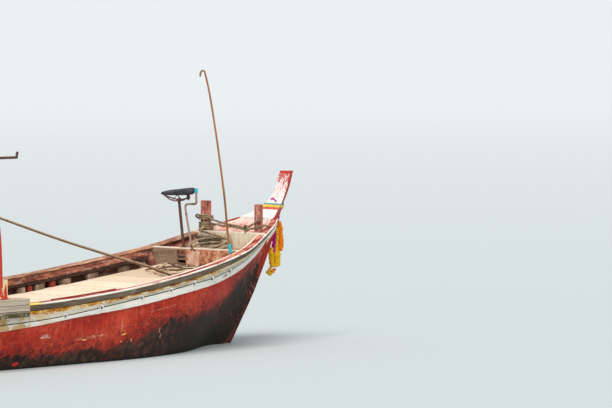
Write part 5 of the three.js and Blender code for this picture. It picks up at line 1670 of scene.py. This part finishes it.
def canopy():
    across, along = 72, 150
    vertices, faces = [], []
    for i in range(along + 1):
        x = CANOPY_X[0] + (CANOPY_X[1] - CANOPY_X[0]) * i / along
        gaps = [(a, b) for a, b in zip(FRAME_TOPS, FRAME_TOPS[1:]) if a <= x <= b]
        sag = math.sin(math.pi * (x - gaps[0][0]) / (gaps[0][1] - gaps[0][0])) ** 2 * 13 if gaps else 0
        for j in range(across + 1):
            v = 2 * j / across - 1
            side = math.copysign(1, v)
            reach = min(abs(v) / 0.88, 1)
            hang = max((abs(v) - 0.88) / 0.12, 0)
            y = side * (reach * (CANOPY_HALF + 67))
            z = arch_z(reach * CANOPY_HALF) + 30 + 14 * reach**6 - sag * (1 - reach**4)
            ripple = 0.5 + 0.5 * math.sin(x / 57)
            z -= hang * (z - CANOPY_SKIRT - 6 - 14 * ripple)
            y += side * hang * (2.5 * math.sin(x / 41) - 2)
            z += 1.2 * math.sin(x / 93 + 3 * v) * (1 - hang)
            vertices.append((x * MM, y * MM, z * MM))
    for i in range(along):
        for j in range(across):
            k = i * (across + 1) + j
            faces.append((k, k + 1, k + across + 2, k + across + 1))
    mesh = bpy.data.meshes.new("canopy_cloth")
    mesh.from_pydata(vertices, [], faces)
    mesh.shade_smooth()
    cloth_piece = add_object("canopy_cloth", mesh, "canvas", ["canopy_sheet"])
    # hem cord in the cloth's four edges
    hems = []
    for j in (0, across):
        hems.append([Vector(vertices[i * (across + 1) + j]) for i in range(along + 1)])
    for i in (0, along):
        hems.append([Vector(vertices[i * (across + 1) + j]) for j in range(across + 1)])
    hem = add_object("canopy_hem", [tube(path, 0.004, 8) for path in hems], "canvas", ())
    # ties from the skirt to the roof rails
    ties = []
    for side in (1, -1):
        for x in (-2650, -2250, -1850, -1450, -1050, -650):
            loop = [
                Vector(
                    (x + 7 * math.cos(a), side * (948 + 20 * math.cos(a + 0.4)), 1738 + 20 * math.sin(a))
                ) * MM
                for a in [2 * math.pi * k / 12 for k in range(12)]
            ]
            ties.append(tube(loop, 0.0022, 6, closed=True))
    add_object("canopy_ties", ties, "tie", ())
    # gusset plates at the front legs' feet
    plates, wedges = [], []
    base = cap_z(-383) + 62
    for side in (1, -1):
        y = side * (cap_y(-383) - 55)
        corners = ((-366, base), (-306, base), (-308, base + 146), (-366, base + 152))
        plates.append(loft([[(x, y + d, z) for x, z in corners] for d in (-4, 4)]))
        corners = ((-362, base + 3), (-312, base + 3), (-328, base + 118))
        wedges.append(loft([[(x, y + d, z) for x, z in corners] for d in (-6.5, 6.5)]))
    add_object("canopy_gussets", plates, "gusset", ())
    add_object("gusset_wedges", wedges, "frame_paint", ())


# Drive: its cross pin, its tilt at rest in degrees, and the steering bar's route from the pin
PIN = Vector((-3925, 0, 1010))
DRIVE_REST = 5
TILLER = [(493, 87, -38), (583, 80, -34), (753, 55, 40), (953, 40, 90), (1240, 40, 110)]


# Trim
def dome(place, direction, radius, height):
    """A low bolt head that stands on `place` and looks along `direction`, in metres."""
    direction = direction.normalized()
    path = [place + direction * height * u for u in (0, 0.3, 0.62, 0.85, 1)]
    round_head = lambda u: radius * (1 - u**2.6) ** 0.5 if u < 1 else radius * 0.15
    return tube(path, round_head, 14)


def side_bolts():
    heads, washers = [], []
    for sign in (1, -1):
        for x in (350, 800, 1330, 1730, 2050, 2330, 2640, -450, -1000, -1550, -2100, -2650, -3200, -3750):
            controls = section(x)
            lengths = arc(controls)
            t = at_drop(lengths, between(STRAKE_GROOVE, x))
            p, q = skin(controls, t, STRAKE_THICK - 2), skin(controls, t, STRAKE_THICK + 4)
            place = Vector((x, sign * p.x, p.y)) * MM
            out = Vector((0, sign * (q.x - p.x), q.y - p.y))
            washers.append(dome(place, out, 0.023, 0.006))
            heads.append(dome(place - Vector((0.006, 0, 0)), out, 0.011, 0.016))
    add_object("strake_washers", washers, "washer")
    add_object("strake_bolts", heads, "bolt")


def toe_strip():
    rings = []
    for x in spread(240, 1060, 18):
        y, z = -(cap_y(x) - CAP_WIDTH), cap_z(x)
        outline = ((-14, -1), (-28, -1), (-28, 6), (-26, 9), (-17, 9), (-14, 6))
        rings.append([(x, y + across, z + rise) for across, rise in outline])
    add_object("toe_strip", loft(rings), "strip", ())


def stick(x, y, length, turn, radius, lift, bend):
    """A cut branch that lies on the fore deck."""
    a = math.radians(turn)
    points = []
    for u, arch in ((-0.5, 0), (-0.2, 0.8), (0.15, 1), (0.5, 0)):
        px = min(x + math.cos(a) * u * length - math.sin(a) * bend * arch, 2758)
        py = y + math.sin(a) * u * length + math.cos(a) * bend * arch
        room = cap_y(px) - 190
        py = min(max(py, -room), room)
        points.append(Vector((px, py, deck_z(px) + radius + 1 + lift * (0.5 + u) + 9 * arch)) * MM)
    return tube(smooth_path(points, 14), lambda u: radius * MM * (1 - 0.4 * u), 8)


def deck_litter():
    """Branches, offcuts and a loose board at the fore end of the deck."""
    chance = random.Random(8)
    dark, pale = [], []
    for k in range(58):
        x, y = chance.uniform(2430, 2735), chance.uniform(-560, 190)
        length, turn = chance.uniform(90, 380), chance.gauss(88, 34)
        made = stick(
            x, y, length, turn, chance.uniform(4, 13), chance.uniform(0, 44), chance.uniform(-26, 26)
        )
        (dark if k % 5 < 3 else pale).append(made)
    for x, y, length, turn in ((2160, -600, 220, 12), (1990, -628, 260, 6), (2060, -560, 180, 60)):
        dark.append(stick(x, y, length, turn, 6, 4, 10))
    add_object("deck_sticks", dark, "stick", ())
    add_object("deck_offcuts", pale, "offcut", ())
    # worn board that leans on the bulkhead
    rings = []
    for z in spread(deck_z(2745) + 2, 828, 8):
        x = 2744 + 0.12 * (z - deck_z(2745))
        low, high = -132 + 2 * math.sin(z / 17), -4 + 2 * math.sin(z / 23 + 1)
        rings.append([(x, low, z), (x, high, z), (x + 14, high, z), (x + 14, low, z)])
    board = add_object("loose_board", loft(rings), "worn", ())
    ease = board.modifiers.new("ease", "BEVEL")
    ease.width, ease.segments = 0.003, 2


def canopy_frames():
    """Three bent pipe frames with foot plates and their bolts, smoother than their CAD bodies."""
    for name, x, lean, rise in CANOPY_FRAMES:
        base = max(cap_z(x - 60), cap_z(x + 60)) + rise + 4
        foot_y = cap_y(x) - 55
        port = [
            Vector((x, foot_y, base)), Vector((x + lean * 0.17, foot_y, 1180)),
            Vector((x + lean * 0.72, foot_y - 20, 1560)), Vector((x + lean, CANOPY_HALF, CANOPY_EAVE - 30)),
        ]
        port += [Vector((x + lean, k * CANOPY_HALF, arch_z(k * CANOPY_HALF))) for k in (0.93, 0.7, 0.35, 0)]
        whole = port + [Vector((p.x, -p.y, p.z)) for p in reversed(port[:-1])]
        parts = [tube([p * MM for p in smooth_path(whole, 180)], CANOPY_POST * MM, 20)]
        for side in (1, -1):
            y = side * foot_y
            corners = ((-60, -45), (60, -45), (60, 45), (-60, 45))
            plate = [
                [(x + a * k, y + b * k, base + h) for a, b in corners] for h,
                k in ((0, 1), (6.5, 1), (8, 0.97))
            ]
            parts.append(loft(plate))
            parts.append(tube([Vector((x, y, base + h)) * MM for h in (6, 9, 30, 33)], 0.027, 20))
            for a, b in ((-44, -30), (44, -30), (44, 30), (-44, 30)):
                parts.append(dome(Vector((x + a, y + b, base + 7)) * MM, Vector((0, 0, 1)), 0.009, 0.007))
        node = "canopy_%s_frame" % name
        add_object(node + "_pipe", parts, "frame_paint", [node])


def drive_place(along, across, up):
    """A place on the tilting drive, from millimetres along, across and above its cross pin, at rest."""
    turn = math.radians(DRIVE_REST)
    x = along * math.cos(turn) - up * math.sin(turn)
    z = along * math.sin(turn) + up * math.cos(turn)
    return (PIN + Vector((x, across, z))) * MM


def drive_pipe(points, radius, sides=12, count=40, closed=False):
    path = [drive_place(*p) for p in points]
    if len(path) > 2 and not closed:
        path = smooth_path(path, count)
    return tube(path, radius * MM, sides, closed)


def drive_bolt(place, direction, radius=8, height=7):
    a, b = drive_place(*place), drive_place(*[p + d for p, d in zip(place, direction)])
    return dome(a, b - a, radius * MM, height * MM)


def engine_trim():
    """Caps, bolts, starter, leads and straps on the drive."""
    bolts = []
    for side in (1, -1):
        for along, up in ((128, -12), (342, -12), (128, 140), (342, 140), (235, -12), (235, 140)):
            bolts.append(drive_bolt((along, side * 104, up), (0, side, 0)))
        bolts += [drive_bolt((along, side * 48, 329), (0, 0, 1), 7, 6) for along in (190, 280)]
        bolts += [drive_bolt((along, side * 88, -31), (0, 0, 1), 7, 6) for along in (72, 470)]
    for k in range(6):
        a = math.radians(30 + 60 * k)
        bolts.append(drive_bolt((109, 48 * math.cos(a), 54 + 48 * math.sin(a)), (-1, 0, 0), 6, 5))
    for along in (-420, -1210, -2000):
        ring = [(along + d, 0, 54) for d in (-16, -13, 13, 16)]
        bolts.append(tube([drive_place(*p) for p in ring], 0.0305, 20))
    add_object("drive_bolts", bolts, "bolt", body="drive")

    tank_top = 54 + 300 + 112
    cap = [drive_place(205, 0, tank_top + h) for h in (-2, 6, 6.5, 18, 21, 21.5)]
    edge = (0.031, 0.031, 0.027, 0.027, 0.024, 0.006)
    steps = [0.0, 8 / 23.5, 8.5 / 23.5, 20 / 23.5, 23 / 23.5, 1.0]
    cap_radius = lambda u: min(zip(steps, edge), key=lambda pair: abs(pair[0] - u))[1]
    add_object("fuel_cap", tube(cap, cap_radius, 28), "vinyl", body="drive")

    # pressed seam round the tank and the starter's ribs
    rings = []
    for up, grow in ((404, -1), (405.5, 2), (409.5, 2), (411, -1)):
        loop = (
            (140 - grow, -110 - grow), (395 + grow, -110 - grow), (395 + grow, 110 + grow),
            (140 - grow, 110 + grow)
        )
        rings.append([tuple(drive_place(a, b, up) / MM) for a, b in loop])
    seam = [loft(rings)]
    for k in range(12):
        a = 2 * math.pi * k / 12
        line = [(431, r * math.cos(a), 64 + r * math.sin(a)) for r in (76, 104)]
        seam.append(tube([drive_place(*p) for p in line], 0.0035, 8))
    add_object("engine_seams", seam, "engine", body="drive")

    black = [drive_pipe([(455, -30, 64), (472, -30, 64)], 11)]
    black.append(drive_pipe([(474, -56, 64), (476, -30, 64), (474, -4, 64)], 8))
    black.append(
        drive_pipe([(235, 0, 330), (262, 30, 345), (330, 92, 300), (388, 100, 180), (392, 80, 120)], 4, 10)
    )
    black.append(drive_pipe([(300, 96, 356), (318, 100, 330), (300, 92, 290), (262, 84, 262)], 5, 10))
    grip = TILLER[-2:]
    low, high = Vector(grip[0]), Vector(grip[1])
    sleeve = [tuple(low.lerp(high, k)) for k in (0.52, 0.54, 0.60, 0.9, 1.0)]
    black.append(tube([drive_place(*p) for p in sleeve], 0.0195, 20))
    add_object("engine_leads", black, "vinyl", body="drive")

    # clamps round the silencer, and slots in its end
    bands = []
    for along in (165, 295):
        loop = [
            (along, -170 + 53 * math.cos(a), 244 + 53 * math.sin(a)) for a in [
                2 * math.pi * k / 36 for k in range(36)
            ]
        ]
        bands.append(drive_pipe(loop, 4, 8, closed=True))
    bands.append(drive_pipe([(230, -140, 290), (236, -100, 300), (240, -66, 296)], 5, 10))
    add_object("silencer_clamps", bands, "zinc", body="drive")

    # steering bar, its clamp and the throttle
    bar = drive_pipe(TILLER, 15, 20, 90)
    add_object("tiller_tube", bar, "rusty", ["tiller_bar"], body="drive")
    lever = [
        drive_pipe(
            [(TILLER[-2][0] + 90, 40, 122), (TILLER[-2][0] + 140, 16, 138), (TILLER[-2][0] + 210, 2, 140)],
            4.5, 10
        )
    ]
    line = [(a, b - 12, c + 15) for a, b, c in TILLER[1:-1]]
    ends = [(380, 60, 120), (470, 84, 70)], [(TILLER[-2][0] + 88, 34, 122)]
    lever.append(drive_pipe(ends[0] + line + ends[1], 3, 8, 80))
    add_object("throttle", lever, "bolt", body="drive")


def propeller_blades():
    """Two twisted blades with rounded edges on a hub with its nut."""
    start = -2656
    hub = [
        (start, 0, 54), (start - 4, 0, 54), (start - 66, 0, 54), (start - 86, 0, 54), (start - 100, 0, 54)
    ]
    path = smooth_path([drive_place(*p) for p in hub], 24)
    barrel = tube(path, lambda u: MM * (26 if u < 0.62 else 26 - 19 * ((u - 0.62) / 0.38) ** 1.6), 28)
    meshes = [barrel]
    table = ((15, 26, 62, 7), (60, 44, 50, 6), (105, 46, 38, 5), (140, 30, 30, 4), (149, 12, 26, 2.4))
    for turn in (0, math.pi):
        rings = []
        for r in spread(15, 149, 22):
            half, pitch, thick = [
                between([(row[0], row[k]) for row in table], r) for k in (1, 2, 3)
            ]
            a = math.radians(pitch)
            ring = []
            for k in range(24):
                t = 2 * math.pi * k / 24
                u, v = half * math.cos(t), thick / 2 * math.sin(t)
                x, y, z = start - 35 + u * math.cos(a) - v * math.sin(a), u * math.sin(a) + v * math.cos(a), r
                y, z = y * math.cos(turn) - z * math.sin(turn), y * math.sin(turn) + z * math.cos(turn)
                ring.append(tuple(drive_place(x, y, z + 54) / MM))
            rings.append(ring)
        meshes.append(loft(rings, angle=60))
    add_object("propeller_bronze", meshes, "bronze", ["propeller"], body="propeller")


def side_chocks():
    """Packing blocks between the fore deck's edges and the planking."""
    for name, look, places in (
        ("raw_chocks", "frames", ((1465, 60), (1656, 80), (1950, 90), (2230, 110), (2550, 100))),
        ("red_chocks", "strip", ((1554, 34), (1800, 50))),
    ):
        blocks = []
        for sign in (1, -1):
            for x, width in places:
                rings = []
                for u, ease in ((-0.5, 3), (-0.46, 0), (0.46, 0), (0.5, 3)):
                    at = x + u * width
                    low, high = deck_z(at) - 4 + ease, deck_z(at) + 46 - ease
                    inner, outer = cap_y(at) - 124 + ease, cap_y(at) - 62 - ease
                    outline = (
                        (inner, low), (outer, low), (outer, high), (inner + 5, high), (inner, high - 6)
                    )
                    rings.append([(at, sign * y, z) for y, z in outline])
                blocks.append(loft(rings))
        add_object(name, blocks, look)


def deck_nails():
    """Nail heads in the deck boards and the thwarts' ends."""
    chance = random.Random(21)
    heads = []
    for row in (-372, 60, 492, 566, 1000, 1420, 1494, 1800, 2120, 2188, 2420):
        half = cap_y(row) - 190
        for y in spread(-half, half, 12):
            x = row + chance.uniform(-5, 5)
            place = Vector((x, y + chance.uniform(-14, 14), deck_z(x) + 0.4)) * MM
            heads.append(dome(place, Vector((0, 0, 1)), 0.005, 0.0016))
    add_object("deck_nails", heads, "bolt")


def floor():
    """The pale floor at the waterline, with a hole along the hull."""
    far = 4000.0
    xs = [x * MM for x in spread(TRANSOM_X - TRANSOM_THICK, 3245, 60)]
    edge = []
    for x in xs:
        controls = section(x / MM)
        points = [skin(controls, t / 60) for t in range(61)]
        dark_bottom = next((b.x for a, b in zip(points, points[1:]) if a.y <= 0 < b.y), KEEL_HALF)
        edge.append(dark_bottom * MM - 0.003)
    xs[0] -= 0.002
    xs[-1] = 3.257
    edge[-1] = 0.034
    vertices, faces = [], []
    for sign in (1, -1):
        start = len(vertices)
        for x, y in zip(xs, edge):
            vertices += [(x, sign * y, 0), (x, sign * far, 0)]
        faces += [
            (start + 2 * i, start + 2 * i + 1, start + 2 * i + 3, start + 2 * i + 2)
            for i in range(len(xs) - 1)
        ]
    for x, outward, near in ((xs[0], -far, 0), (xs[-1], far, len(xs) - 1)):
        start = len(vertices)
        y = edge[near]
        vertices += [
            (x, -far, 0), (x, -y, 0), (x, y, 0), (x, far, 0), (outward, far, 0), (outward, -far, 0)
        ]
        faces.append(tuple(start + i for i in range(6)))
    mesh = bpy.data.meshes.new("floor")
    mesh.from_pydata(vertices, [], faces)
    work = bmesh.new()
    work.from_mesh(mesh)
    bmesh.ops.recalc_face_normals(work, faces=work.faces)
    work.to_mesh(mesh)
    work.free()
    ground = bpy.data.objects.new("floor", mesh)
    look = Look("floor_pale", shine=0.0)
    away = look.plus(look.times(look.axis("X"), 0.731), look.times(look.axis("Y"), 0.682))
    mesh.materials.append(
        look.done(
            look.ramp(look.step(away, -4, 110), (0, (0.53, 0.575, 0.575)), (1, (0.64, 0.665, 0.68))), 0.9
        )
    )
    bpy.context.scene.collection.objects.link(ground)


make_camera()
make_light()
floor()
hull_sides()
topsides()
cap_rails()
side_guards()
prow_head()
saddle()
bent_pipe()
hook_pole()
bamboo()
mooring_rope()
lashing()
prow_cloths()
garlands()
canopy()
side_bolts()
toe_strip()
deck_litter()
canopy_frames()
engine_trim()
propeller_blades()
deck_nails()
side_chocks()

DRESS = {
    "stem": ["stem_post", "keel"],
    "hull": ["transom"],
    "inner": ["port_inwale", "starboard_inwale"],
    "frames": ["rib_frames"],
    "raw": ["port_riser", "starboard_riser", "bottom_boards", "pivot_block", "well_floor"],
    "post": ["port_mooring_post", "starboard_mooring_post"],
    "bulkhead": ["fore_bulkhead"],
    "well": ["well_bulkhead"],
    "tan": ["front_thwart", "rear_thwart", "helm_bulkhead", "helm_deck"],
    "platform": ["bow_platform"],
    "deck": ["deck_panel_1", "deck_panel_2", "deck_panel_3", "deck_panel_4"],
    "vinyl": ["air_filter"],
    "rusty": ["saddle_post", "swivel_yoke", "muffler", "port_roof_rail", "starboard_roof_rail"],
    "zinc": ["tail_tube"],
    "cast": ["engine_block"],
    "engine": ["fan_cover", "fuel_tank"],
}
ROUND = {"saddle_post"}
for look, nodes in DRESS.items():
    for node in nodes:
        dress(node, look, 0 if node in ROUND else 3)
